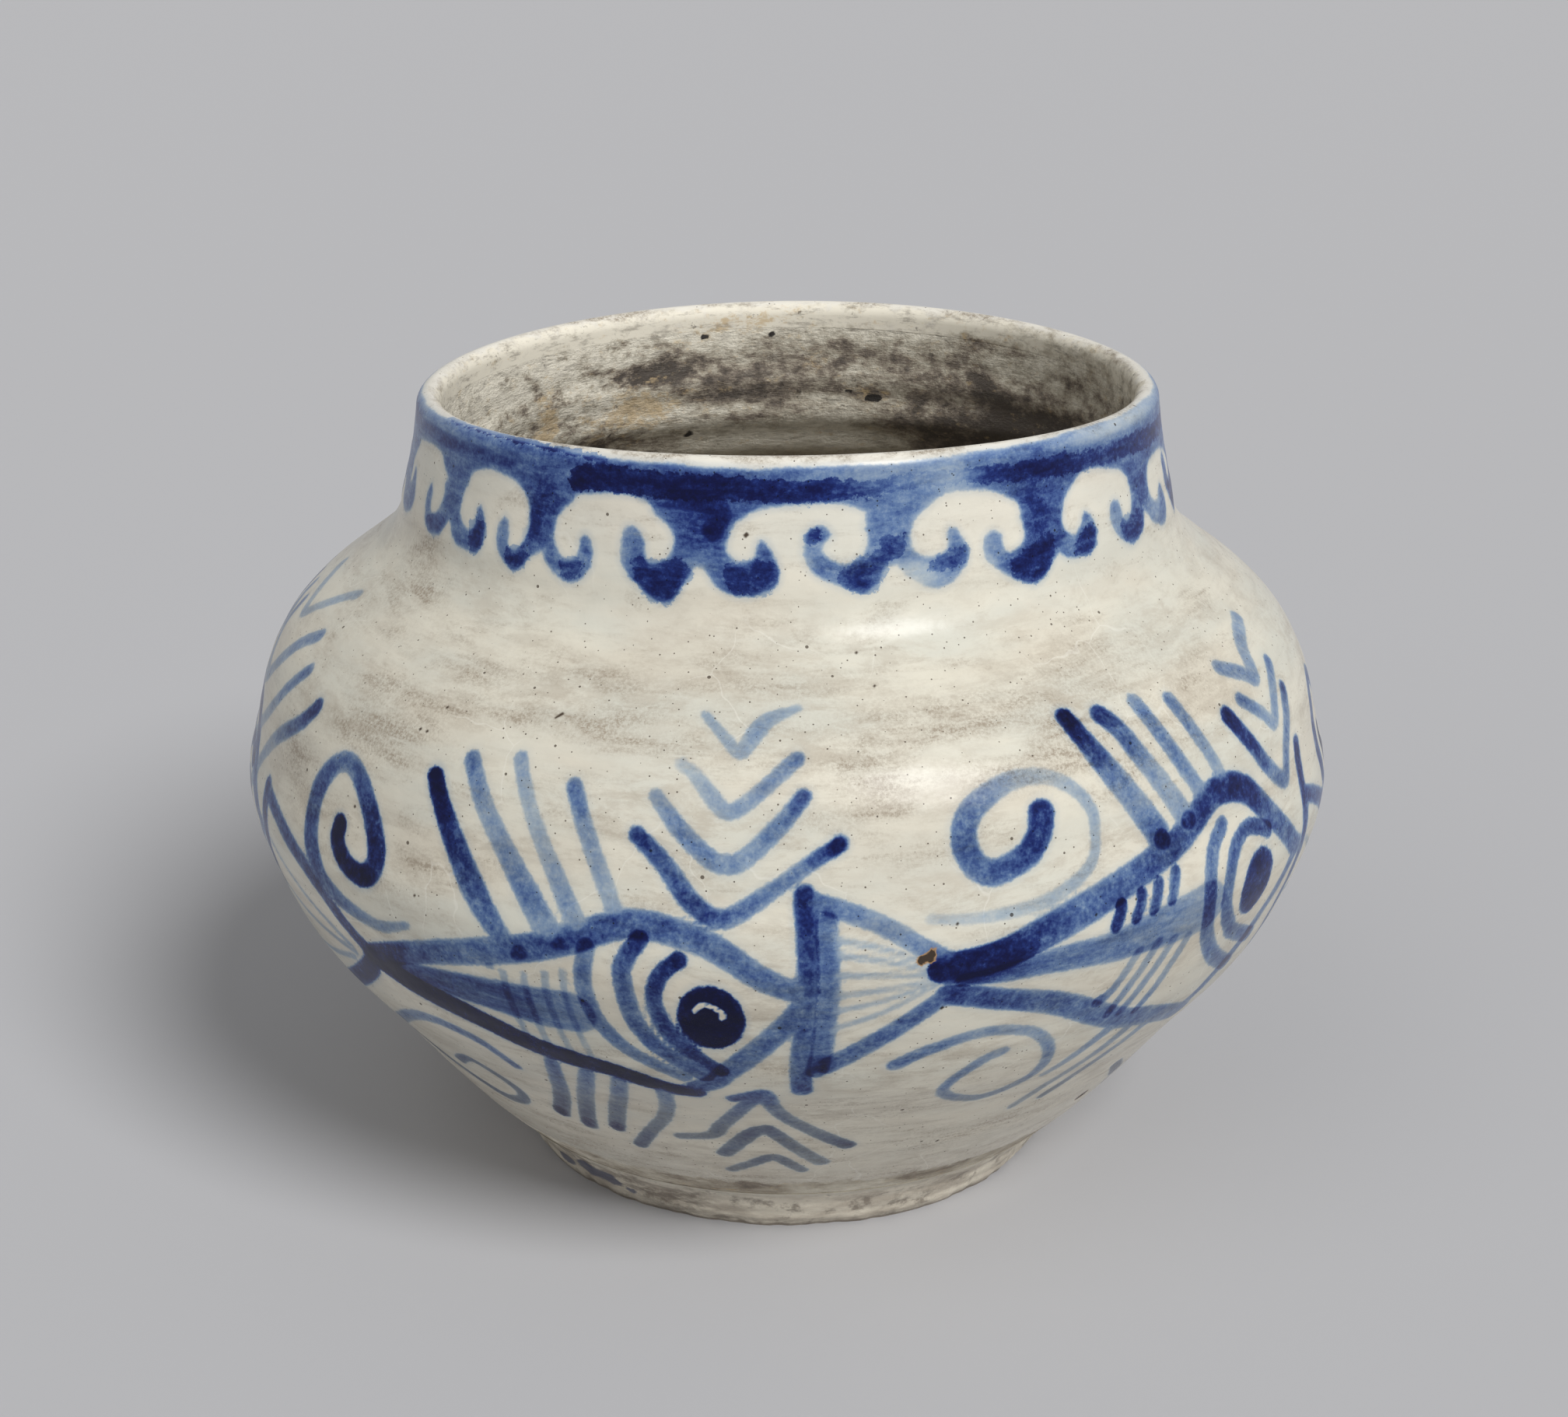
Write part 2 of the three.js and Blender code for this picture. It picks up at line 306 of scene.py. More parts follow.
FISH_A = [
    # Back of the fish, from its tail to its nose, and the blots on it
    line([(-46, 70), (-40, 74), (-34, 77.2), (-30, 79), (-24, 81.8), (-20, 84.1), (-16.5, 86.6),
          (-13.3, 87.7), (-9.5, 86.7), (-6, 84.6), (-2, 80.3), (1.3, 78)],
         (4.6, 4.4, 4.8, 4.6, 4.4, 4.2, 4), (1.8, 1.0, 0.75, 1.05, 0.95, 0.78, 0.78)),
    over([(-25.4, 80.2), (-25, 80.8)], (2.2, 2.6), (0.55, 0.55)),
    over([(-28.7, 77), (-28.4, 77.2)], (1.4, 1.3), (0.6, 0.5)),
    over([(-21.2, 83.1), (-20.8, 83.4)], (1.8, 2), (0.4, 0.35)),
    # Belly of the fish, and the stroke up to its nose
    line([(-46.5, 69.5), (-40, 67), (-34, 65.1), (-30, 63.2), (-26, 61), (-22, 59.6), (-18, 58.3),
          (-15, 56.5), (-12, 54.8), (-9.7, 54.5)],
         (4.6, 5, 4.8, 4.6, 4, 3.6), (2.3, 2.2, 2.1, 2.1, 2, 2.3, 1.8)),
    line([(-9.3, 56.3), (-7.5, 57.8), (-6, 60.8), (-4, 64.3), (-2, 68), (0, 72), (1.5, 76), (2, 78.5)],
         (3.6, 4, 4, 3.4), (0.95, 0.85, 0.75, 0.9)),
    # Blue of its flank, from the tail to the first gill arc
    wash([(-43, 69.4), (-38, 70.4), (-30, 71), (-25, 70.8), (-21, 71)],
         (2.5, 4.8, 6.2, 7.8, 8.6), (1.3, 0.98, 0.95, 0.88, 0.6)),
    over([(-27.2, 76.5), (-27.4, 72), (-26.8, 63)], (1.4, 1.3), (0.35, 0.4, 0.3)),
    over([(-25, 77), (-25.1, 72), (-24.6, 62)], (1.3, 1.4), (0.35, 0.4, 0.3)),
    over([(-22.7, 78), (-22.9, 72), (-22.2, 61)], (1.4, 1.3), (0.4, 0.35, 0.3)),
    over([(-20.8, 79), (-20.9, 72), (-20, 61)], (1.3, 1.2), (0.35, 0.35, 0.3)),
    # Gill arcs, from the back down to the belly
    over([(-18.3, 83.5), (-18.9, 77), (-18.3, 71), (-17, 67), (-15, 63.5), (-10.5, 58.8)],
         (2.8, 3, 2.6), (0.8, 0.75, 0.7)),
    over([(-13.3, 85.6), (-14.7, 82), (-15, 79), (-14.5, 72), (-13.6, 68.5), (-12.4, 65.5), (-8.3, 59.5)],
         (2.8, 3.2, 3), (1.3, 0.9, 0.9, 1, 1.1)),
    over([(-9.7, 83), (-11.5, 80), (-12.2, 76), (-11.8, 72), (-11, 69), (-8.8, 64.3), (-6.6, 61.2)],
         (2.8, 2.6, 3.4, 2.8), (1.7, 1.1, 1.2, 1.4)),
    # Combs above the back
    line([(-36.5, 103.3), (-33.7, 96.5), (-30.8, 90), (-26.8, 82.5)],
         (3, 4, 4.4, 3.6), (2.1, 1.4, 1.0, 0.75)),
    line([(-32.6, 107), (-30, 101), (-27, 95), (-24, 89), (-21.6, 84)],
         (2.9, 3.6, 4.3), (0.85, 0.56, 0.56, 0.74, 0.45)),
    line([(-27.2, 108.7), (-25, 102), (-21.7, 93), (-18.8, 85.5)],
         (2.3, 2.8, 3.4), (0.6, 0.35, 0.38, 0.6, 0.4)),
    line([(-20.8, 106), (-18.1, 97), (-15.8, 89.5)], (2.6, 2.8, 2.8), (0.85, 0.55, 0.35)),
    # Upper spiral over the tail, from its inner end
    line([(-48.9, 91), (-49, 89), (-48, 87), (-46.3, 85.5), (-44.3, 85.2), (-42.9, 86.8), (-42.7, 89.5),
          (-43.5, 92.5), (-44.7, 95.5), (-46.3, 98.5), (-48.3, 100.4), (-50.3, 100.2), (-52.4, 97.5),
          (-53.8, 94), (-54.1, 90), (-53.6, 86.5), (-52.7, 84), (-51, 81), (-48.2, 79), (-45, 78),
          (-42, 77.9), (-38.2, 80)],
         (3.6, 3.6, 4.2, 4, 3.2, 4.2, 4.4, 3.6, 2.6, 1.4),
         (2.2, 2, 1.7, 1.4, 0.85, 0.85, 1.1, 1.05, 1, 0.7, 0.55, 0.5)),
    # Strokes under the belly
    line([(-25.4, 57), (-26.8, 49), (-28.4, 43), (-30.8, 36.5)], (2.8, 3.1, 3), (0.8, 0.7, 0.95)),
    line([(-21.5, 56), (-22.8, 51), (-24.5, 45), (-27.2, 34.5)], (2.8, 3, 3), (0.75, 0.65, 0.9)),
    line([(-18, 55), (-19, 50), (-20.3, 45), (-22.6, 36)], (2.8, 3, 2.8), (0.75, 0.6, 0.85)),
    line([(-13.3, 54), (-13.5, 49), (-14.8, 43), (-17, 38.3), (-20.6, 30.6)],
         (2.6, 2.6, 2.4), (0.7, 0.55, 0.6, 1)),
    over([(-30.6, 37.6), (-30.9, 36.4)], (2.6, 2.4), (0.6, 0.6)),
    over([(-26.8, 36), (-27.2, 34.8)], (2.6, 2.4), (0.6, 0.6)),
    over([(-22.3, 37), (-22.7, 35.8)], (2.4, 2.4), (0.6, 0.6)),
    # Chevrons below the nose
    line([(-5.6, 53), (-4, 54.2), (-2.3, 55), (-4.3, 51), (-6.4, 45.5), (-7.9, 42), (-9.4, 38.3),
          (-13.7, 36.6)], (2.6, 2.8, 2.8, 2.4), (1.2, 0.9, 0.75, 0.6, 0.5)),
    line([(-2, 54), (-1.5, 50.5), (-0.5, 47), (1, 44), (3, 41), (5, 38.3), (8, 34.8)],
         (2.8, 2.8), (0.9, 0.7, 0.6, 0.65, 1)),
    line([(-2.4, 41.6), (-3.8, 40.5), (-5.2, 38), (-8.4, 31.5)], (3, 3.2, 2.8), (0.9, 0.8, 0.7)),
    line([(-2.4, 41.6), (-0.5, 38), (1, 35), (2.5, 32.3), (4.9, 28.5)], (2.8, 2.9), (0.8, 0.4)),
    line([(-8, 24.8), (-4.8, 28), (-1.7, 30.8), (0.6, 27.8), (2.3, 25.3)],
         (2.2, 2.6, 2.2), (0.5, 0.75, 0.5)),
    # Lower spiral, from its inner end to its long outer arc
    line([(-46, 42.3), (-44, 44.5), (-42, 46.2), (-40.5, 46), (-38.5, 44), (-37, 41.5), (-36.3, 39),
          (-37.3, 36.5), (-39.5, 34.8), (-42, 34.5), (-45, 35.8), (-48, 37.5), (-52, 40), (-56, 43)],
         (2.2, 2.6, 2.4, 2.6), (0.8, 0.6, 0.65, 0.7)),
    line([(-31.7, 52), (-33, 55.3), (-34.5, 57.3), (-37, 58.6), (-40, 59), (-43, 58.3), (-46, 56.3),
          (-49, 53.5), (-54, 48.5), (-62, 41.5), (-70, 35.5), (-78, 29.5)],
         (2.4, 2.8, 2.6), (0.85, 0.7, 0.65, 0.8, 0.85)),
    # Tail, with its two edges and rays
    line([(-66, 88), (-62, 86), (-58, 83.5), (-55, 81.5), (-52, 78.5), (-49.5, 74.5), (-46.5, 70.5)],
         (3, 3.6, 3.8), (1, 1.1, 1.5)),
    line([(-47.5, 67), (-50, 64), (-54, 60), (-62, 53.2), (-70, 48), (-74, 46)],
         (4, 4, 3.6), (1.6, 1.25, 1.2)),
    wash([(-50, 69), (-57, 74), (-65, 80)], (1.4, 1.3), (0.5, 0.3)),
    wash([(-50, 68), (-58, 69), (-66.5, 71)], (1.4, 1.3), (0.5, 0.3)),
    wash([(-51, 66.5), (-60, 62), (-69, 59)], (1.4, 1.3), (0.5, 0.3)),
]

FISH_B = [
    # Tail bar in two passes of the brush, its edges and rays
    line([(1.6, 92.8), (1.9, 83), (1.7, 73), (1.4, 63), (1.6, 56.3)],
         (3.2, 3.4), (1.4, 1.2, 1.08, 0.96, 0.86, 0.86, 1.1)),
    wash([(3.6, 89), (3.8, 78), (3.4, 67), (3, 61.5)], (3.2, 3.4), (0.75, 0.8, 0.75, 0.9)),
    line([(2.5, 91.8), (5, 90.5), (7, 89.3), (9, 87.8), (11, 85.8), (14.5, 82.3)],
         (3, 3), (0.85, 0.6, 0.6, 0.75)),
    line([(4, 62.8), (6, 65.1), (8, 67.5), (10, 69.9), (12, 72.5), (14.8, 76.3)], (3.8, 3.2), (0.85, 0.85)),
    *(wash([(4.3, start), (9, middle), (13.8, end)], (1.3, 0.9), (0.3, 0.28)) for start, middle, end in (
        (86.5, 84.6, 81.2), (84.2, 82.8, 80.6), (81, 80.6, 80), (77.5, 78.2, 79.4), (74.5, 76.2, 78.9),
        (71, 74, 78.5),
    )),
    # Back of the fish over to its nose
    line([(14.2, 81), (17, 81.2), (20, 82), (24, 84.2), (32, 88.3), (40, 92.2), (43, 94.5), (46, 97),
          (48.5, 97.2), (51, 96), (53, 94), (57, 88), (61, 82.2), (62.5, 80.8)],
         (5, 5.2, 5.4, 4.8, 4.8, 5, 4.5, 4.4, 3.8),
         (1.75, 1.7, 1.2, 0.88, 0.85, 0.98, 1.08, 1.1, 1.35, 1.3, 0.9, 0.85, 0.9)),
    # Blue of its flank and the thin strokes across it
    wash([(16, 78.5), (20, 78.8), (24, 79.3), (28, 79.4), (32, 79.3), (36, 79.8), (44, 80.5)],
         (2, 3.5, 4.5, 5.2, 6.6, 8, 8.6), (1.3, 0.8, 0.7, 0.65, 0.45)),
    over([(32.4, 85.8), (32.2, 84.4), (31.8, 82.8)], (2.2, 2.4), (1.5, 1.3, 1.5)),
    over([(34.9, 86.6), (34.7, 85), (34.2, 83.2)], (2.1, 2.2), (1.4, 1.2, 1.35)),
    over([(37.1, 87.4), (36.9, 86), (36.3, 83.6)], (2.2, 2.1), (1.2, 1, 1.15)),
    over([(39.4, 88.2), (39.2, 87), (38.7, 84.2)], (2.3, 2.1), (1, 0.9, 0.95)),
    over([(35.2, 77), (34.2, 73), (33.2, 69.5)], (2, 1.8), (0.42, 0.45, 0.75)),
    over([(37.6, 77.5), (36.2, 72), (34.8, 67), (34.2, 64.5)], (2, 1.8), (0.42, 0.45, 0.75)),
    over([(39.8, 77), (38.5, 72), (37, 67), (36, 64)], (2, 1.8), (0.42, 0.45, 0.75)),
    over([(42, 76.3), (40.8, 71), (39.6, 66), (38.5, 63)], (2, 1.8), (0.42, 0.45, 0.75)),
    # Gill arcs
    over([(47, 92), (45.5, 90), (44.5, 87), (44.2, 84), (44.4, 80), (45, 76), (46.2, 73), (47.8, 70),
          (50.2, 67), (55, 62.5)], (3, 3.2, 3), (0.85, 0.8, 0.75)),
    over([(54.8, 87.7), (53, 89), (51, 89.8), (49, 88.5), (47.8, 86), (47.2, 83), (47.2, 80), (48, 77),
          (49.3, 74.5), (51, 72), (57.5, 67)], (2.8, 3, 3), (1.2, 0.85, 0.85, 0.8)),
    # Belly and the stroke up to the nose
    line([(14.8, 76.3), (18, 75), (20, 74), (24, 72.2), (28, 69.7), (36, 62.7), (40, 60.6), (44, 58.4),
          (50.5, 54.5)], (4, 4.6, 4.8, 4.3), (1.15, 0.92, 0.8, 0.8, 0.75, 0.7)),
    over([(32.1, 68.6), (32.5, 69)], (2.6, 2.4), (1, 1)),
    line([(48.5, 55.5), (51, 58), (53, 62), (55.5, 67), (57.5, 71), (59.5, 75), (61.5, 79.5)],
         (3.4, 3.4), (0.75, 0.7)),
    # Combs above the back
    line([(30.4, 114.3), (32.2, 108), (34.6, 102), (37.8, 94.5)],
         (3.2, 4.2, 4.6), (1.75, 1.15, 0.7, 0.52, 0.9)),
    over([(38.2, 93.6), (38.6, 93)], (3, 2.6), (0.9, 0.9)),
    line([(34.7, 113.6), (36, 111), (37.9, 105), (42, 94.8)], (3.4, 3.8), (1.3, 0.85, 0.5, 0.45, 0.55)),
    over([(42, 95), (42.4, 94.6)], (2.8, 2.6), (0.8, 0.8)),
    line([(40, 114), (41.2, 108), (43, 102), (44.8, 97.3)], (3, 3), (0.6, 0.75, 0.6, 0.5)),
    line([(44.9, 112.6), (45.7, 108), (48, 99.5)], (2.8, 2.6), (0.75, 0.6, 0.38)),
    # Upper spiral over the tail, from its inner end
    line([(24.7, 101.3), (24.2, 98.5), (23, 96), (21, 94.6), (19.3, 94), (17.8, 95), (16.8, 97.5),
          (16.6, 100), (17.3, 102.6), (19, 104.6), (21.5, 106.3), (24.5, 106.7), (27, 105.6), (29, 103.3),
          (30.2, 100.3), (30.3, 97), (30, 94), (28.8, 91.8), (26.5, 90), (24, 88.7), (20, 88), (16, 88),
          (13, 88.5)],
         (4.3, 4.1, 4, 4.1, 3.9, 3.2, 2.7, 2.4, 2.1, 2, 2.1, 2.2, 2, 1.8, 1.6),
         (1.35, 1.15, 0.95, 0.85, 0.95, 0.7, 0.36, 0.28, 0.4, 0.4, 0.34, 0.3, 0.26, 0.26, 0.26, 0.22)),
    # Lower spiral
    line([(10.8, 62), (13, 64.2), (15, 65.5), (17.5, 66.8), (20, 67.3), (22.5, 66.7), (25, 65.2),
          (27, 62.5), (28.3, 59), (28.8, 55.5), (28.4, 52), (27.5, 50.2), (25.5, 48), (23, 47), (20.5, 48),
          (18.3, 50), (17.2, 52.5), (17.6, 55.5), (19, 58.3), (20.7, 60.8), (22.3, 61.8)],
         (2.8, 2.4, 2.2, 2.4, 2.4, 2.2, 2.4), (0.85, 0.7, 0.55, 0.5, 0.6, 0.62, 0.5, 0.5, 0.6, 0.7, 0.5)),
    # Strokes under the belly
    line([(36, 60.5), (34, 57), (32, 53), (30.5, 50.5)], (2.6, 2.2), (0.6, 0.4)),
    line([(39, 58), (36, 50.5), (32, 43), (30, 39.5)], (2.6, 2.2), (0.5, 0.35)),
    line([(42.5, 57), (38.5, 47), (36.5, 43), (34.5, 40)], (2.6, 2.2), (0.45, 0.6)),
    line([(49, 39), (51, 36.5), (53.5, 33.5)], (2.6, 3), (0.8, 0.95)),
]

# Chevrons beside the nose of the second fish
NOSE_CHEVRONS = [
    line([(55.8, 113.8), (59, 111.3), (61, 109.7), (62.8, 113.5), (64.5, 115.5), (68.5, 118)],
         (3, 3.3, 2.8), (0.6, 0.5, 0.5)),
    line([(55.8, 108), (58.8, 104.5), (60.8, 102), (63.5, 105.8), (66.5, 109.8)],
         (2.6, 2.6), (0.95, 0.6, 0.5, 0.55, 0.8)),
    line([(52.2, 106.8), (54.3, 102), (57, 96.8), (60.7, 92.8), (62.5, 97.5), (66.5, 105)],
         (3.4, 3, 2.8), (1.6, 1.3, 0.85, 0.72, 0.7, 0.65, 0.95)),
]

# What is seen only past the left and right edges of the front
LEFT_EDGE = [
    line([(-66.2, 88.5), (-66.3, 84), (-66.8, 79), (-69.2, 68), (-74.5, 51)], (3.4, 3.4), (1.2, 1.1, 0.9)),
    line([(-69.5, 122.5), (-71.5, 121), (-76, 116), (-79, 113), (-82, 116), (-87, 121)],
         (2.4, 2.6), (0.4, 0.4)),
    line([(-68, 113.8), (-71, 110.8), (-75, 105.3), (-79, 101), (-83, 105.3), (-89, 112)],
         (3, 2.8), (0.65, 0.5, 0.5, 0.6)),
    line([(-64.2, 109), (-67, 105), (-71, 99), (-78, 91.5), (-80, 90.5), (-88, 99), (-93, 105)],
         (2.6, 2.4), (0.8, 0.45, 0.45, 0.7)),
    line([(-58.2, 105.5), (-60.5, 101.8), (-66, 96.8), (-70.5, 91.5), (-74, 85.5), (-80, 80), (-86, 86),
          (-95, 97)], (3, 2.6, 2.6), (1.3, 0.5, 0.45, 0.45, 0.7)),
]
RIGHT_EDGE = [
    line([(65.6, 96), (65, 86), (64, 76), (63.3, 66), (63.5, 60)], (3.2, 3.2), (1.3, 1, 0.8)),
]

# Where each fish's own group of strokes starts, and how wide its span is
FISH_A_START, FISH_A_SPAN = -66.0, 67.7
FISH_B_START, FISH_B_SPAN = 1.7, 63.6
HIDDEN_START = 65.3
HIDDEN_PITCH = 57.17

# Fish eyes, as centre, half width, half height and density
EYE_A = ((-7, 72.8), 4.9, 6.3, 2.4)
EYE_B = ((52.8, 80.2), 4.7, 5.7, 1.45)
EYE_GLINT = Stroke(
    "bare", [(-8.5, 74.1), (-7.8, 75.5), (-6.8, 75.2), (-5.9, 74), (-5.9, 73)], (1, 1.2), (1, 1),
)

# Neck border. Each ivory arch is left bare in a blue ground, with two inward curls at its foot.
ARCHES = [
    [(-53.3, 144), (-53.2, 146), (-52, 148), (-51, 150), (-47, 151.2), (-44, 151), (-41.5, 150.5),
     (-39.5, 149), (-38.3, 147), (-38, 145), (-38.4, 143), (-40, 138), (-51.5, 138), (-53, 142)],
    [(-33.5, 144), (-33.3, 146), (-32.3, 147.8), (-31, 149), (-30, 150.3), (-28, 150.7), (-24, 151.2),
     (-20.5, 151), (-19, 150.3), (-18.3, 149), (-16, 147), (-15.2, 145), (-16, 142.7), (-18, 138),
     (-31.5, 138), (-33.2, 142)],
    [(-8.1, 145), (-7.7, 146.5), (-7, 148), (-5, 149.5), (-3, 150.3), (0, 150.7), (4, 151), (7, 150.8),
     (10.2, 149.7), (10.7, 148), (10.8, 146), (10.6, 144.5), (10, 143.3), (8, 138), (-6, 138), (-7.8, 143)],
    [(16.7, 145.5), (17, 147), (18, 148.5), (21, 150.7), (23, 151.3), (26, 151.2), (29, 150.7), (32.5, 149),
     (33.5, 148), (34, 146.5), (34.2, 144.5), (34, 143), (32, 138), (19, 138), (17, 143)],
    [(41.2, 144), (41.3, 145.5), (42, 147), (43.3, 148.5), (46, 150.5), (48, 150.7), (50.5, 150.3),
     (55.5, 149), (57, 148), (58, 147), (58.4, 145.5), (57.8, 142.7), (56, 138), (43, 138), (41.4, 142)],
    [(64.8, 144), (65.3, 146), (66.5, 147.5), (69, 148), (73, 148), (76, 147.3), (79.5, 145.8),
     (80.5, 143.5), (79, 138), (67, 138), (65, 142)],
]

# The second arch goes round the hidden side too, from its own centre to these
ARCH_PITCH = 24.2
HIDDEN_ARCH_CENTRE = -24.4
HIDDEN_ARCH_CENTRES = [-66] + [97.2 + ARCH_PITCH * k for k in range(8)]

# Blue anchors between the arches: round the tip of the left hook, along the foot, and up to the right hook
ANCHORS = [
    [(-63.4, 145.5), (-64.4, 144.5), (-64.8, 142.5), (-64.5, 141), (-63.5, 139), (-62, 138.1), (-60, 138),
     (-58, 138.7), (-56.5, 140.5), (-55.8, 141.2), (-54.5, 139.5), (-53, 138.3), (-50.5, 138), (-48.5, 138),
     (-47, 139), (-46.6, 141), (-46.9, 143), (-47.7, 144.8), (-48.7, 145.4), (-49.2, 144.2), (-49.1, 142.4),
     (-50, 141.3), (-51.5, 141.5), (-52.8, 142.5), (-53.3, 144), (-53.4, 147), (-58.6, 147), (-58.6, 144.6),
     (-59.4, 142.6), (-60.6, 141.4), (-61.8, 141.2), (-62.6, 142.2), (-62.6, 144)],
    [(-42.8, 145), (-43.7, 144), (-44.2, 142.5), (-44, 141), (-43.3, 139.5), (-42, 138.2), (-40.3, 137.2),
     (-38.7, 138), (-37.5, 139.5), (-35.3, 141), (-34.5, 139.8), (-33, 138.3), (-31, 137.3), (-29.5, 137.4),
     (-28, 138.5), (-27, 140.5), (-27, 142.5), (-27.7, 144.2), (-28.6, 144.7), (-29.2, 143.8),
     (-29.2, 142.5), (-29.8, 141), (-30.8, 140.6), (-31.7, 141), (-32.7, 142), (-33.3, 143), (-33.5, 144.5),
     (-33.5, 147), (-38, 147), (-38, 145), (-38.4, 143), (-39.3, 141), (-40.5, 140.3), (-41.5, 141),
     (-41.7, 142.6), (-42, 144.2)],
    [(-20, 146), (-21.2, 146.8), (-22.3, 146.5), (-22.8, 145), (-22.8, 142), (-22.3, 140.8), (-21.3, 139.3),
     (-20, 138.3), (-18.5, 137), (-17, 136.2), (-15.5, 136.3), (-14.5, 137.5), (-13.7, 139), (-12.7, 140.8),
     (-11.8, 141.8), (-10.8, 141), (-9.8, 139.5), (-8.5, 138.3), (-7, 137.7), (-5, 137.6), (-3, 138.3),
     (-1.5, 139.2), (-1, 141), (-1.3, 142.5), (-2, 144), (-2.8, 145.4), (-3.8, 145.6), (-4.2, 144.4),
     (-4.6, 143), (-6, 142.6), (-7.5, 143.4), (-8.2, 144.8), (-8.4, 147), (-14.8, 147), (-15.2, 145),
     (-16, 142.7), (-17, 142), (-18, 141.6), (-19, 142), (-19.3, 143), (-19.4, 144.5)],
    [(6, 146.2), (5.5, 147.2), (4.5, 147.8), (3.3, 147.5), (2.5, 146.5), (2.2, 145), (2.2, 143.5),
     (2.8, 141.8), (4, 140.5), (5.5, 139.7), (7, 139), (8.5, 138.3), (10, 137.8), (11, 138.5),
     (12.3, 139.5), (12.8, 141), (14, 142.5), (15, 141), (16, 139.8), (17.5, 138.8), (19, 138),
     (20.5, 137.8), (22, 138.3), (23.5, 139.5), (24.7, 141), (24.9, 143), (24.2, 144.8), (23.3, 146),
     (22.3, 146.3), (21.9, 145.2), (22, 144), (21.7, 143.2), (20.5, 142.5), (19, 142.5), (17.7, 143),
     (16.9, 144), (16.7, 146), (16.8, 148), (10.8, 148), (10.8, 146), (10.6, 144.5), (10, 143.3),
     (8.5, 142.5), (7, 142.3), (6, 142.8), (5, 143.5), (4.6, 144.4), (5, 145.4)],
    [(30.3, 144.2), (29.3, 144.9), (28.3, 144.8), (27.5, 144), (27.3, 142.5), (27.5, 141), (28.5, 140),
     (30, 138.7), (32, 137.3), (33.5, 136.7), (35, 136.3), (36.5, 136.7), (38, 138), (39, 139.3),
     (40, 139.8), (40.5, 139.3), (42, 138.6), (44, 138.4), (46, 138.5), (47.3, 139.5), (48, 141),
     (47.8, 143), (47, 144.2), (46, 144.7), (45.2, 143.8), (44.6, 142.8), (43.5, 141.9), (42.5, 142.2),
     (41.7, 143), (41.2, 144), (41.2, 147), (34.2, 147), (34.2, 144.5), (34, 143), (33, 142), (31.5, 141.5),
     (30.6, 142.2), (30.4, 143.2)],
    [(54.4, 144.5), (53, 144.8), (52, 144), (51.7, 142.5), (52, 141), (53, 139.5), (54.5, 138.2),
     (56.3, 137.4), (58, 137.5), (60, 138.3), (61, 139.3), (61.8, 140.8), (63, 140.3), (64.5, 138.7),
     (66.5, 137.8), (68.5, 137), (70.5, 137), (71.8, 138), (72.3, 140), (71.8, 142), (70.5, 143.3),
     (69.4, 142.6), (68.2, 141.4), (66.6, 141.6), (65.4, 142.6), (64.8, 144), (64.8, 147), (58.4, 147),
     (58.4, 145.5), (58.2, 144), (57.8, 142.7), (57, 141.5), (56, 141), (55.2, 141.7), (54.9, 143)],
]

# The third anchor and its dark load go round the hidden side too
HIDDEN_ANCHOR_CENTRE = -12
HIDDEN_ANCHOR_CENTRES = [85.1 + ARCH_PITCH * k for k in range(9)]

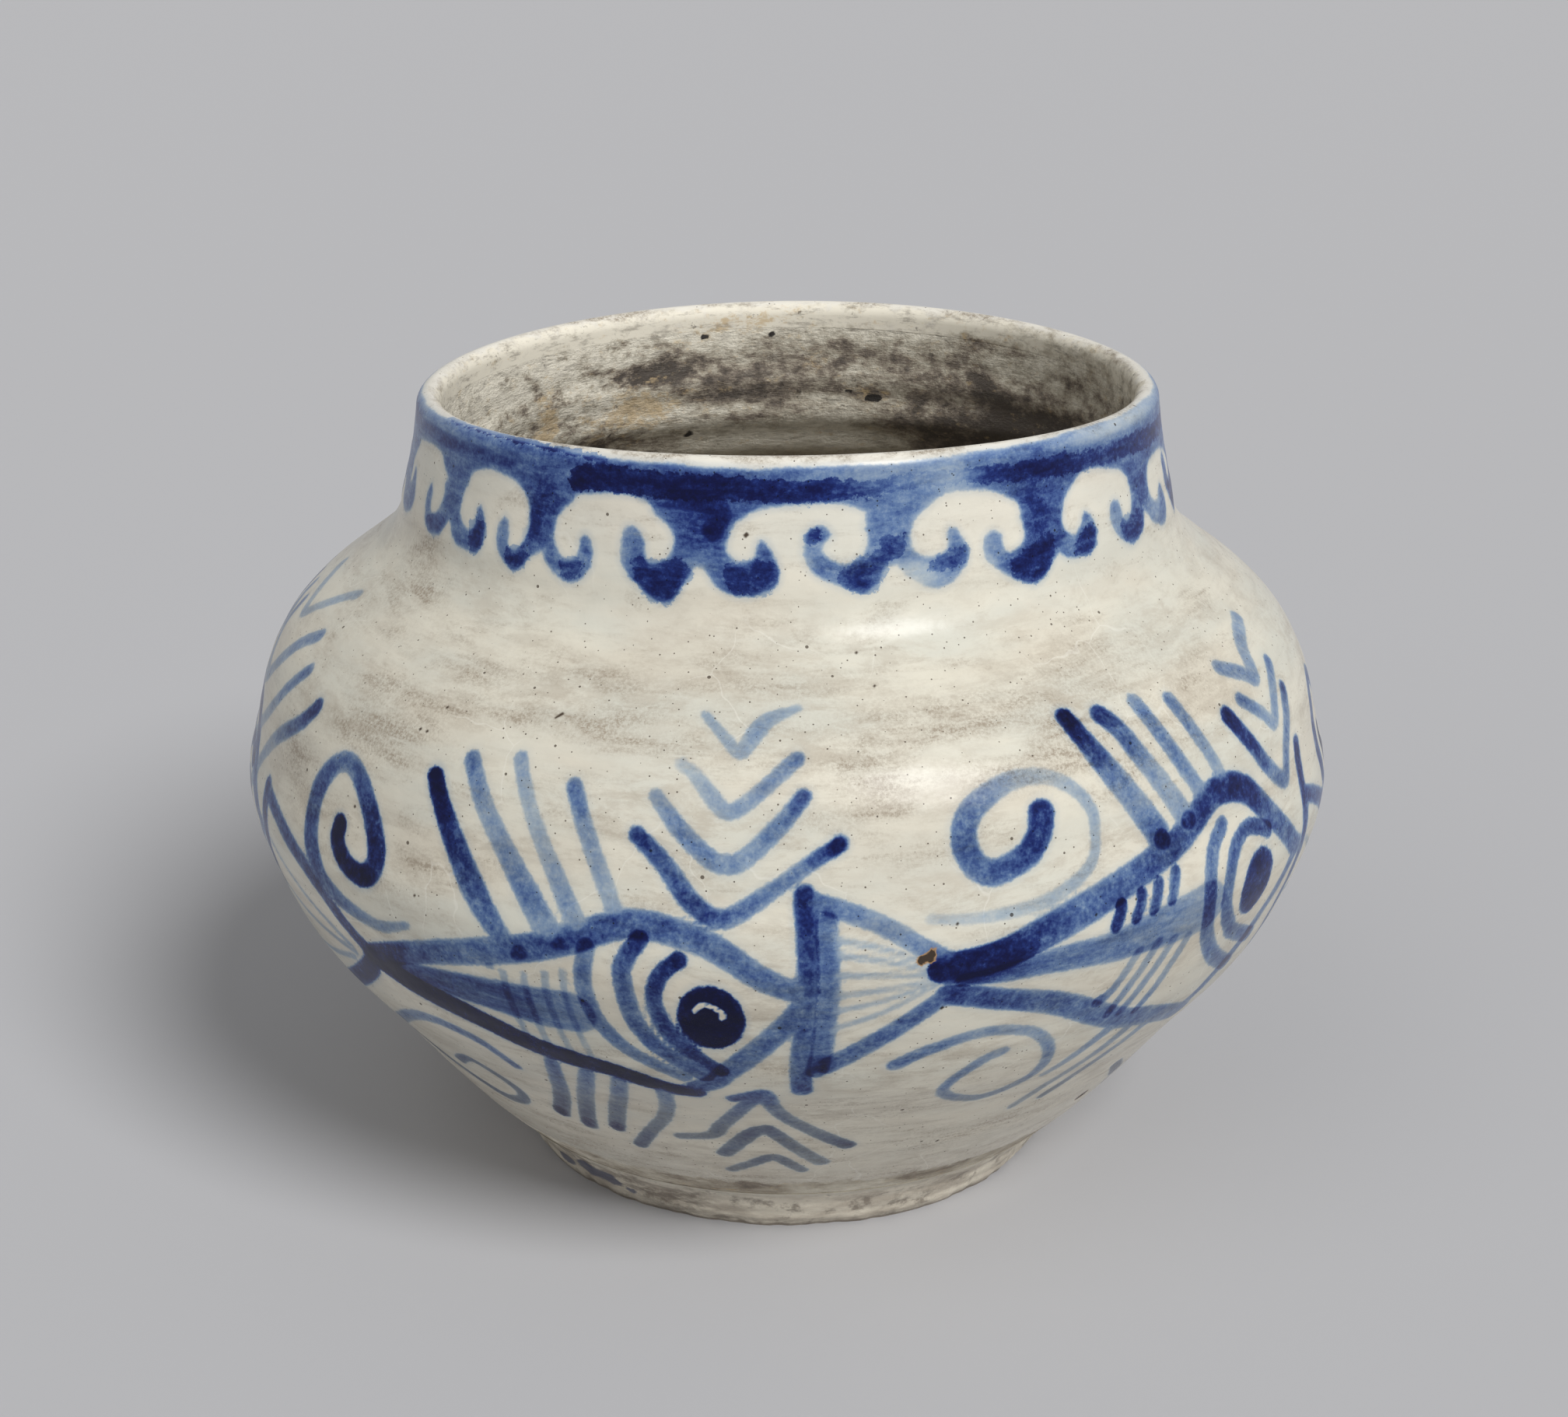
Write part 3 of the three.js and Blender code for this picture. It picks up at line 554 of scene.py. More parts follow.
# Places on the anchors where the brush left a second, dark load of pigment, with its density
DARK_LOADS = [
    ([(-63.2, 139.8), (-61.8, 138.3), (-59.5, 138), (-57.6, 139.2), (-57, 141), (-59, 141.3),
      (-61.5, 140.8)], 0.29),
    ([(-50.2, 142.4), (-50, 140), (-48.8, 138.1), (-47.3, 138.8), (-46.7, 141), (-47.2, 143),
      (-48.8, 143.2)], 0.49),
    ([(-41.8, 139.6), (-41, 138), (-39.6, 137.3), (-38.2, 138.3), (-37.7, 140), (-39.3, 140.8),
      (-41, 140.6)], 0.49),
    ([(-32.2, 140), (-31.4, 138.4), (-30.2, 137.9), (-29, 138.8), (-28.8, 140.2), (-30.2, 140.9)], 0.4),
    ([(-21, 141.5), (-19.8, 138.6), (-18.3, 136.8), (-16.2, 136.2), (-14.6, 137.4), (-13.6, 139.2),
      (-12.8, 141.2), (-15, 142.4), (-17.6, 141.8), (-19.5, 142.2)], 0.49),
    ([(-8.2, 141.8), (-7.6, 139.4), (-6.3, 138.1), (-4.2, 137.9), (-2.4, 138.6), (-1.4, 140.5), (-1.6, 142),
      (-4.3, 142.6), (-6.5, 142.4)], 0.44),
    ([(3.2, 147.2), (2.5, 146.3), (2.9, 145.4), (3.8, 145.6), (4.2, 146.6)], 0.52),
    ([(6.4, 140.6), (7.8, 139), (10, 137.9), (11.4, 138.6), (12.9, 140.6), (12.4, 142.6), (11, 143.4),
      (9.4, 142.4), (8, 141.4)], 0.49),
    ([(12.5, 145.6), (12.8, 143.6), (14, 142.8), (15.4, 143.6), (15.7, 145.6), (14, 146)], 0.44),
    ([(19.4, 140.6), (21.5, 140.4), (23.4, 141), (25, 142), (24.6, 143.2), (22.6, 142.8),
      (20.4, 142.2)], 0.44),
    ([(31.3, 140.4), (32.2, 138), (34, 136.6), (36, 136.6), (37.8, 138.2), (38.8, 140.4), (38.6, 143),
      (36.4, 142.6), (34.8, 141.2)], 0.49),
    ([(43, 139.4), (45, 138.6), (47, 139.4), (47.9, 141), (47.3, 142.8), (45.6, 142), (44, 141)], 0.52),
    ([(54.4, 141), (55, 138.6), (57, 137.6), (59, 138), (60.6, 139.4), (61.2, 141.6), (59.4, 141.6),
      (57.6, 141.2), (56, 141.8)], 0.44),
    ([(60.4, 146), (60.8, 143), (62.6, 141.8), (64.2, 143), (64, 146), (62, 147)], 0.24),
]

# The darker line of the brush round the top of the border
NECK_LINES = [
    over([(-78, 153), (-60, 153.2), (-42, 153)], (2, 2.4, 1.8), (0.2, 0.35, 0.2)),
    load([(-29.8, 152.7), (-28.6, 153.1), (-24, 153.2), (-16, 153), (-8, 153.1), (0, 152.7), (6, 152.9),
          (12, 152.5)], (3.4, 3.3, 3.2, 3, 2.8, 2.8, 1.8), (0.95, 0.75, 0.7, 0.75, 0.65, 0.7, 0.4)),
    over([(-20, 151.4), (-12, 151), (-9, 149.6), (-10, 147)], (2.4, 3, 3.2), (0.15, 0.5, 0.55)),
    load([(12, 152.8), (18, 153.4), (25, 153.4)], (1.6, 1.2), (0.3, 0.2, 0.2)),
    load([(26, 153.4), (33, 152.8), (42, 152.4), (50, 152), (58, 151.9), (66, 151.4), (80, 151)],
         (1.6, 2.6, 2, 2.4, 2), (0.4, 0.65, 0.4, 0.6, 0.4)),
    load([(80, 151.2), (120, 153), (160, 152.6), (200, 153), (240, 152.8), (282, 153)],
         (2.4, 2.6, 2.4), (0.4, 0.6, 0.3, 0.6, 0.35)),
    load([(36, 150.6), (37, 147.4), (37, 144.4)], (2.2, 2.6, 1.6), (0.1, 0.2, 0.1)),
    load([(-36.4, 149.5), (-36.8, 146), (-38, 143)], (1.6, 2.6, 2), (0.1, 0.25, 0.1)),
    load([(-62, 156.8), (-48, 157), (-36, 156.7), (-26, 156)], (0.5, 0.7, 0.5), (0.5, 0.9, 0.5)),
]

# Height of the blue ground's top edge round the neck, and its strength, as (angle, value)
GROUND_TOP = [
    (-84, 155.5), (-70, 156), (-50, 156.8), (-30, 156.4), (-10, 156), (10, 156.2), (30, 156.6), (50, 157),
    (70, 156.6), (84, 156), (130, 155.6), (180, 156.2), (230, 155.6),
]
GROUND_INK = [
    (-84, 0.75), (-60, 0.8), (-40, 0.88), (-28, 0.95), (-10, 0.98), (2, 0.9), (12, 0.68), (22, 0.62),
    (30, 0.85), (37, 1.1), (46, 0.85), (60, 0.85), (80, 0.8), (130, 0.8), (180, 0.95), (230, 0.8),
]

# Paler and darker places in the ground of the neck, as centre, half width, half height and density
NECK_PATCHES = [
    ((-60, 155), 16, 1.2, -0.15), ((-36, 149), 3, 4, 0.3), ((-38, 144), 2, 3, 0.3),
    ((-11, 147), 2.6, 3, 0.25), ((-12, 142.5), 3, 2, -0.35), ((8, 154.5), 8, 1, -0.25),
    ((14, 149), 2, 3, 0.08), ((17, 140), 3, 2, -0.6), ((23, 153.2), 5, 1.6, -0.38),
    ((38, 149), 2.4, 6, -0.05), ((58, 155.6), 22, 1.5, -0.65), ((42, 140), 2.4, 1.6, -0.3),
    ((-60, 143), 3, 4, -0.1), ((-22.5, 144), 2.4, 3, -0.35), ((3, 144), 2, 3, -0.3),
    ((28.5, 142.5), 2.4, 3, -0.3), ((-6, 143.6), 2, 2, -0.3), ((66, 141), 4, 3, -0.3),
    ((53, 142), 2.4, 3, -0.35), ((-30, 141), 3, 3, -0.3), ((-43, 142), 2, 3, -0.2),
]

# Grey-brown smudges in the glaze, one of them painted shade, drawn out level, as centre, half width, half
# height and strength
SMUDGES_AND_SHADE = [
    ((-46, 107), 7, 4.4, 1.7), ((-40, 112.5), 5, 1.8, 0.9), ((-37, 90), 4, 2.4, 0.8),
    ((-41, 84.5), 4, 2, 0.7), ((-62, 132), 6, 5, 1), ((-57, 128.5), 7, 3.6, 0.9), ((-31, 126), 5, 1.3, 0.8),
    ((-8, 123.6), 5, 1.8, 1), ((-24, 122), 8, 2, 0.7), ((-23, 114.5), 8, 1.8, 1.1),
    ((-37, 113.5), 3, 1.2, 0.9), ((-14, 119), 26, 7, 0.35), ((3, 123), 9, 2.4, 0.5),
    ((14, 116.5), 9, 3, 0.9), ((5, 111), 5, 2, 0.5), ((63, 124), 5, 3, 0.9), ((4, 103.5), 8, 1.6, 0.9),
    ((15, 98), 6, 2, 0.5), ((-65.2, 114.8), 1.6, 1.4, 1.3), ((54, 109), 1.2, 1, 0.9), ((-2, 62), 4, 4, 0.4),
    ((30, 33), 20, 5, 0.9), ((-30, 26), 26, 5, 0.5), ((-50, 118), 5, 3, -0.3), ((38, 105), 8, 3, 0.3),
    # The patch at (-60, 96) is painted shade on the left of the belly
    ((-60, 96), 5, 6, 1.5), ((10, 20), 40, 5, 0.4), ((-66, 122), 5, 6, 0.4), ((-50, 86), 4, 5, 0.4),
    ((110, 118), 14, 5, 0.8), ((150, 108), 16, 3, 0.8), ((195, 122), 18, 4, 0.8), ((30, 111), 13, 7, 0.9),
    ((38, 122), 9, 5, 0.8), ((52, 116), 6, 6, 0.7), ((19, 118), 7, 4, 0.6), ((-55, 121), 5, 3, 0.6),
    ((-24, 15.5), 8, 1.6, 0.7), ((30, 15), 8, 2, 0.8), ((46, 17), 6, 3, 0.6), ((-48, 114), 6, 3, 0.7),
    ((-63, 106), 3, 4, 0.7), ((-36, 119), 6, 2, 0.6), ((22, 108), 6, 3, 0.6), ((46, 106), 3, 3, 0.6),
    ((-28, 93), 3, 3, 0.5), ((8, 107), 4, 3, 0.5), ((236, 110), 14, 4, 0.9), ((265, 126), 10, 4, 0.8),
    ((180, 30), 50, 6, 0.4), ((95, 100), 8, 3, 0.5),
]

# Dark specks and chips, as centre and radius
SPECKS = [
    ((-40.7, 109.4), 0.3), ((-39.7, 109.4), 0.28), ((-38.3, 113.4), 0.28), ((-24.7, 116.4), 0.34),
    ((-25.1, 115.2), 0.22), ((8.4, 129.5), 0.25), ((10, 123.2), 0.25), ((-41.4, 62), 0.3),
    ((-28.7, 49.3), 0.3), ((21, 32.2), 0.35), ((-46.8, 94.4), 0.3), ((-37, 85.2), 0.25),
    ((15.5, 87.8), 0.25), ((-5.7, 146.5), 0.42), ((14.7, 73.8), 0.35), ((29.6, 85.3), 0.25),
]
CHIPS = [((12.1, 82.6), 0.7), ((12.9, 82.9), 0.8), ((13.1, 83.9), 0.5), ((48.5, 29.5), 1.3)]


def catmull_rom(points, per_span=8):
    """A smooth polyline through the points."""
    p = np.asarray(points, float)
    ends = np.vstack([2 * p[0] - p[1], p, 2 * p[-1] - p[-2]])
    t = np.linspace(0, 1, per_span, endpoint=False)[:, None]
    out = []
    for a, b, c, d in zip(ends[:-3], ends[1:-2], ends[2:-1], ends[3:]):
        bend = (2 * a - 5 * b + 4 * c - d) * t**2 + (3 * b - a - 3 * c + d) * t**3
        out.append(0.5 * (2 * b + (c - a) * t + bend))
    return np.vstack(out + [p[-1:]])


PIGMENT_LAYERS = ("wash", "line", "over", "load")
LAYERS = PIGMENT_LAYERS + ("bare", "clay", "speck")

# The part of the skin near a shape, with each vertex's turn and run and the rows' millimetres per degree
Near = namedtuple("Near", "grid turn run per_degree")


class Canvas:
    """The skin's grid, with the painting's layers as arrays over its rows and columns."""

    # Millimetres round a shape in which distances are kept, the distance beyond it, and the lip's most sag
    MARGIN = 4.0
    FAR = 9.0
    SAG_MOST = 3.0

    # How sharply the ink of the nearest stroke wins over that of the next
    BLEND = 3.0

    # Soft patches end at this many half widths, and a degree of turn is at most this many millimetres
    SOFT_REACH = 3
    DEGREE_MOST = 1.6

    def __init__(self, run, radius, shift, columns):
        self.degrees = np.arange(columns) / columns * 360
        self.run = run[:, None] + shift
        self.row_run = run
        self.radius = radius
        shape = self.run.shape
        self.gap = {name: np.full(shape, self.FAR) for name in LAYERS}
        self.weight = {name: np.full(shape, 1e-9) for name in LAYERS}
        self.ink = {name: np.zeros(shape) for name in LAYERS}
        self.smudge_and_shade = np.zeros(shape)

    def window(self, points, margin):
        """The part of the skin within a margin of the points, and a little more."""
        low, high = points.min(0), points.max(0)
        above = self.row_run > low[1] - margin - self.SAG_MOST
        rows = np.nonzero(above & (self.row_run < high[1] + margin + self.SAG_MOST))[0]
        reach = margin / math.radians(self.radius[rows].min())
        middle = (low[0] + high[0]) / 2
        turn = (self.degrees - middle + 180) % 360 - 180
        columns = np.nonzero(np.abs(turn) < (high[0] - low[0]) / 2 + reach)[0]
        grid = np.ix_(rows, columns)
        per_degree = np.radians(self.radius[rows])[:, None]
        return Near(grid, turn[columns][None, :] + middle, self.run[grid], per_degree)

    @staticmethod
    def to_segment(near, a, b):
        """Each vertex's distance from the segment a to b, and how far along it the nearest point lies."""
        ax, ay = (near.turn - a[0]) * near.per_degree, near.run - a[1]
        bx, by = (b[0] - a[0]) * near.per_degree, b[1] - a[1]
        t = np.clip((ax * bx + ay * by) / (bx * bx + by * by + 1e-9), 0, 1)
        return np.hypot(ax - t * bx, ay - t * by), t

    def lay(self, layer, grid, gap, ink):
        """Adds a painted shape to a layer, given each vertex's distance from it, below 0 inside."""
        pull = np.exp(-self.BLEND * np.clip(gap, -2, 6))
        self.weight[layer][grid] += pull
        self.ink[layer][grid] += pull * ink
        self.gap[layer][grid] = np.minimum(self.gap[layer][grid], gap)

    def stroke(self, stroke):
        """Adds a stroke to its layer, with its width and density running along it."""
        points = catmull_rom(stroke.points)
        near = self.window(points, self.MARGIN + max(stroke.width))
        local = math.radians(np.interp(points[:, 1].mean(), self.row_run, self.radius))
        along = lengths(points * (local, 1))
        part = along / along[-1]
        half = np.interp(part, np.linspace(0, 1, len(stroke.width)), stroke.width) / 2
        ink = np.interp(part, np.linspace(0, 1, len(stroke.density)), stroke.density)
        best = np.full(near.run.shape, self.FAR)
        best_ink = np.zeros(best.shape)
        for k in range(len(points) - 1):
            gap, t = self.to_segment(near, points[k], points[k + 1])
            gap = gap - (half[k] * (1 - t) + half[k + 1] * t)
            nearer = gap < best
            best = np.where(nearer, gap, best)
            best_ink = np.where(nearer, ink[k] * (1 - t) + ink[k + 1] * t, best_ink)
        self.lay(stroke.layer, near.grid, best, best_ink)

    def shape_gap(self, corners):
        """Distance to a closed outline, below 0 inside it."""
        points = catmull_rom(corners + corners[:1], 4)
        near = self.window(points, self.MARGIN)
        best = np.full(near.run.shape, self.FAR)
        crossings = np.zeros(best.shape, int)
        for a, b in zip(points[:-1], points[1:]):
            best = np.minimum(best, self.to_segment(near, a, b)[0])
            spans = (a[1] > near.run) != (b[1] > near.run)
            rise = b[1] - a[1] if b[1] != a[1] else 1e-9
            crossings += spans & (near.turn < (b[0] - a[0]) * (near.run - a[1]) / rise + a[0])
        return near.grid, np.where(crossings % 2 == 1, -best, best)

    def oval(self, layer, centre, half_width, half_height, ink):
        """Adds an oval to a layer."""
        grid, turn, run, per_degree = self.window(np.array([centre]), max(half_width, half_height) + 3)
        x = (turn - centre[0]) * per_degree / half_width
        y = (run - centre[1]) / half_height
        self.lay(layer, grid, (np.hypot(x, y) - 1) * min(half_width, half_height), ink)

    def speck(self, centre, radius):
        """A small round spot on the nearest vertex, so that the grid doesn't miss it."""
        column = int(np.argmin(np.abs((self.degrees - centre[0] + 180) % 360 - 180)))
        row = int(np.argmin(np.abs(self.run[:, column] - centre[1])))
        self.oval("speck", (self.degrees[column], self.run[row, column]), radius, radius, 1)

    def soft(self, target, centre, half_width, half_height, strength):
        """Adds a soft patch, whose half width is in degrees."""
        reach = self.SOFT_REACH * max(half_width * self.DEGREE_MOST, half_height)
        grid, turn, run, _ = self.window(np.array([centre]), reach)
        x = (turn - centre[0]) / half_width
        y = (run - centre[1]) / half_height
        target[grid] += strength * np.exp(-(x * x + y * y))


def repeat_fish(canvas, strokes, eye, start, span, new_start):
    """One fish again round the hidden side, from a new start and fitted to the hidden pitch."""
    scale = HIDDEN_PITCH / span
    for stroke in strokes:
        points = [(new_start + (angle - start) * scale, run) for angle, run in stroke.points]
        canvas.stroke(stroke._replace(points=points))
    (angle, run), *size_and_ink = eye
    canvas.oval("over", (new_start + (angle - start) * scale, run), *size_and_ink)


def paint_fish(canvas):
    """The two fish in view, and four like them behind, of which the last meets the left edge's chevrons."""
    for stroke in CHEVRON_STACK + FISH_A + FISH_B + NOSE_CHEVRONS + LEFT_EDGE + RIGHT_EDGE + [EYE_GLINT]:
        canvas.stroke(stroke)
    canvas.oval("over", *EYE_A)
    canvas.oval("over", *EYE_B)
    first = (CHEVRON_STACK + FISH_A, EYE_A, FISH_A_START, FISH_A_SPAN)
    second = (FISH_B + NOSE_CHEVRONS, EYE_B, FISH_B_START, FISH_B_SPAN)
    third = (first[0] + LEFT_EDGE[:1], *first[1:])
    fourth = (FISH_B, *second[1:])
    for place, fish in enumerate((first, second, third, fourth)):
        repeat_fish(canvas, *fish, HIDDEN_START + place * HIDDEN_PITCH)


def round_jar(pairs, degrees):
    """Values between (angle, value) pairs, smoothly round the whole turn."""
    angles, values = np.array(pairs, float).T
    order = np.argsort(angles % 360)
    return np.interp(degrees, (angles % 360)[order], values[order], period=360)[None, :]


def repeated(corners, centre, new_centres):
    """The outline again round each of the new centres."""
    return [[(angle - centre + new, run) for angle, run in corners] for new in new_centres]


def paint_neck(canvas):
    """The border's blue ground, the arches left bare in it, the anchors and the brush's dark line."""
    rows = np.nonzero((canvas.row_run > NECK_RUN_LOW) & (canvas.row_run < NECK_RUN_HIGH))[0]
    grid = np.ix_(rows, np.arange(len(canvas.degrees)))
    run = canvas.run[grid]
    turn = np.radians(canvas.degrees)[None, :]
    top = round_jar(GROUND_TOP, canvas.degrees) + 0.12 * np.sin(17 * turn) + 0.07 * np.sin(41 * turn + 1)
    full = np.full(canvas.run.shape, canvas.FAR)
    full[grid] = np.maximum(GROUND_FOOT - run, run - top)
    for arch in ARCHES + repeated(ARCHES[1], HIDDEN_ARCH_CENTRE, HIDDEN_ARCH_CENTRES):
        spot, gap = canvas.shape_gap(arch)
        full[spot] = np.maximum(full[spot], -gap)
    for anchor in ANCHORS + repeated(ANCHORS[2], HIDDEN_ANCHOR_CENTRE, HIDDEN_ANCHOR_CENTRES):
        spot, gap = canvas.shape_gap(anchor)
        full[spot] = np.minimum(full[spot], gap)
    ink = np.zeros(canvas.run.shape)
    ink[grid] = round_jar(GROUND_INK, canvas.degrees) + 0 * run
    for patch in NECK_PATCHES:
        canvas.soft(ink, *patch)
    canvas.lay("wash", grid, full[grid], np.clip(ink[grid], 0.25, 2))
    for stroke in NECK_LINES:
        canvas.stroke(stroke)
    corners, density = DARK_LOADS[4]
    behind = [(again, density) for again in repeated(corners, HIDDEN_ANCHOR_CENTRE, HIDDEN_ANCHOR_CENTRES)]
    for corners, density in DARK_LOADS + behind:
        spot, gap = canvas.shape_gap(corners)
        canvas.lay("load", spot, gap, density)


def paint_jar(canvas):
    """The whole painting, then the smudges with their painted shade, specks and chips."""
    paint_fish(canvas)
    paint_neck(canvas)
    for smudge_and_shade in SMUDGES_AND_SHADE:
        canvas.soft(canvas.smudge_and_shade, *smudge_and_shade)
    for centre, radius in SPECKS:
        canvas.speck(centre, radius)
    for centre, radius in CHIPS:
        canvas.oval("clay", centre, radius, radius, 1)


# Light or dark places inside (stains, painted light and painted shade), then yellow and pitted places, as
# (angle, height), half width, half height and strength
# The first list holds stains, painted light on the left wall and low in the middle, and painted shade on the
# right
INSIDE_STAINS_LIGHT_AND_SHADE = [
    ((-112, 125), 26, 14, 0.27), ((180, 130), 60, 3, 0.3), ((-129, 120), 12, 8, 0.02),
    ((-150, 114), 11, 4, 0.2), ((-151, 120.4), 8, 2.2, -0.34), ((-159, 122.5), 5, 1.6, -0.16),
    ((-174, 119), 16, 6, -0.08), ((167.5, 121), 1.6, 5, 0.12), ((164, 115.4), 4, 1.4, -0.12),
    ((155, 119), 9, 7, -0.05), ((140, 128), 9, 1.6, -0.3), ((128, 111), 15, 9, -0.5),
    ((112, 120), 14, 8, 0.1), ((90, 116), 20, 14, -0.06), ((-176, 105.5), 22, 4, 0.28),
    ((-155, 112), 9, 5, 0.1), ((150, 108), 10, 5, -0.16), ((-135, 106), 14, 5, -0.05),
    ((-173, 124), 10, 2, 0.06), ((-168, 112.5), 9, 1, 0.2), ((-158, 106), 10, 2, -0.16),
]
INSIDE_YELLOWS = [
    ((-151, 113.5), 9, 4, 1.2), ((-131, 112), 3, 7, 1.1), ((-172, 129), 9, 1.6, 0.8),
    ((-112, 110), 12, 6, 0.5), ((165, 115.5), 4, 1.6, 0.8), ((-163, 126), 4, 1.2, 0.7),
]
INSIDE_PITS = [
    ((-164.4, 127.2), 1.1, 0.8, 1.2), ((-177, 126.6), 1.2, 0.8, 1), ((163.4, 114.7), 1.3, 0.8, 1.3),
    ((164.8, 115), 0.8, 0.6, 0.9), ((168.5, 115.6), 1.2, 0.8, 1), ((-162, 107.4), 1.4, 1, 1),
    ((-146, 109), 1, 0.8, 0.7), ((104, 118), 1.4, 1, 1),
]
INSIDE_TONES = (INSIDE_STAINS_LIGHT_AND_SHADE, INSIDE_YELLOWS, INSIDE_PITS)

# Brown stains and blue blots on the foot, as (angle, height), half width, half height and strength; the two
# broad stains on the left are also painted shade
FOOT_STAINS_AND_SHADE = [
    ((-24, 4.5), 12, 3.5, 1.2), ((-46, 6.5), 12, 3.5, 0.9), ((-11, 8.6), 6, 1.4, 0.3),
    ((16, 8.4), 10, 1.6, 0.4), ((33, 6.5), 6, 2.6, 0.7), ((24, 3), 6, 2, 0.5), ((-8, 1.4), 10, 1, 0.6),
    ((52, 6), 8, 3, 0.5), ((110, 5), 14, 4, 0.7), ((160, 7), 12, 3, 0.6), ((215, 4), 16, 3, 0.7),
    ((270, 6), 14, 4, 0.7),
]
FOOT_BLOTS = [
    ((-52, 3.4), 3.5, 1.4, 0.9), ((-44, 4.6), 3.6, 1.8, 1), ((-38, 4.4), 3, 1.6, 1), ((-33, 3), 2, 1, 0.7),
    ((-56, 8.6), 3, 1.2, 0.6),
]


def put_vectors(mesh, name, arrays, rest=(0, 0, 0)):
    """Stores up to three arrays over the first rows of a turned skin, with rest for the other rows."""
    values = np.tile(np.array(rest, np.float32), (len(mesh.vertices), 1))
    for k, array in enumerate(arrays):
        values[:array.size, k] = array.ravel()
    attribute = mesh.attributes.new(name, "FLOAT_VECTOR", "POINT")
    attribute.data.foreach_set("vector", values.ravel())


def put_tones(mesh, name, lists, columns, heights):
    """Stores up to three sums of soft patches on the first rows of a turned skin, given the rows' heights."""
    degrees = np.arange(columns)[None, :] / columns * 360
    totals = []
    for patches in lists:
        total = np.zeros((len(heights), columns))
        for (at, high), half_width, half_height, strength in patches:
            x = ((degrees - at + 180) % 360 - 180) / half_width
            total += strength * np.exp(-(x * x + ((heights[:, None] - high) / half_height) ** 2))
        totals.append(total)
    put_vectors(mesh, name, totals)


def make_glaze():
    """The glaze coat, with the painting and its place round the wheel held on the vertices."""
    wall = wall_rows(outside, FOOT_HEIGHT, LIP_HEIGHT, SKIN_ROW_STEP)
    down = face_points(inside, [LIP_HEIGHT - 0.8, GLAZE_END_INSIDE], WASH_THICKNESS)
    finished = np.vstack([wall, lip_points(0, 20)[1:], down])
    back = wall_rows(outside, LIP_HEIGHT, FOOT_HEIGHT, BACK_ROW_STEP, GLAZE_THICKNESS)
    under_lip = lip_points(GLAZE_THICKNESS, 6)[::-1]
    profile = np.vstack([finished, face_points(inside, [GLAZE_END_INSIDE]), under_lip, back[1:]])
    rows = len(finished)
    height = finished[:, 1:]
    band = face_points(outside, np.linspace(FOOT_EDGE, FOOT_HEIGHT, FOOT_BAND_STEPS))
    run = FOOT_EDGE * math.sqrt(2) + lengths(band)[-1] + lengths(finished)
    angle = turn_of(SKIN_COLUMNS)
    tilt = PAINT_TILT * LIP_MIDDLE_RADIUS * np.sin(angle) * ease(height, TILT_START, TILT_END)
    canvas = Canvas(run, finished[:, 0], rim_sag(angle, height) - tilt, SKIN_COLUMNS)
    paint_jar(canvas)
    waves = np.sin(height / WHEEL_GROOVE_PITCH * 2 * math.pi + 1.6 * np.sin(3 * angle))
    uneven = wobble(angle, height, WALL_WOBBLE, 11) + WHEEL_GROOVE * (1 + waves)
    inward = np.zeros((len(profile), SKIN_COLUMNS))
    inward[:rows] = uneven * ease(height, LIP_HEIGHT, LIP_HEIGHT - 6)
    inward[:rows] += CHIP_DEPTH * ease(canvas.gap["clay"], 0, -0.6)
    inward[:rows] += SPECK_DEPTH * ease(canvas.gap["speck"], 0.5, -0.5)
    obj = turned("glaze_coat", profile, SKIN_COLUMNS, inward)
    for name in PIGMENT_LAYERS:
        ink = canvas.ink[name] / canvas.weight[name]
        put_vectors(obj.data, "paint_" + name, [canvas.gap[name], ink], (canvas.FAR, 0, 0))
    bare = [canvas.gap[name] for name in ("bare", "clay", "speck")]
    put_vectors(obj.data, "paint_bare", bare, (canvas.FAR, canvas.FAR, canvas.FAR))
    put_vectors(obj.data, "glaze_tone", [canvas.smudge_and_shade, canvas.run])
    round_wheel = [WHEEL_RADIUS * way(angle) + 0 * canvas.run for way in (np.sin, np.cos)]
    put_vectors(obj.data, "wheel", [place * MM for place in (*round_wheel, canvas.run)])
    put_tones(obj.data, "inside_tone", INSIDE_TONES, SKIN_COLUMNS, profile[:, 1])
    return obj


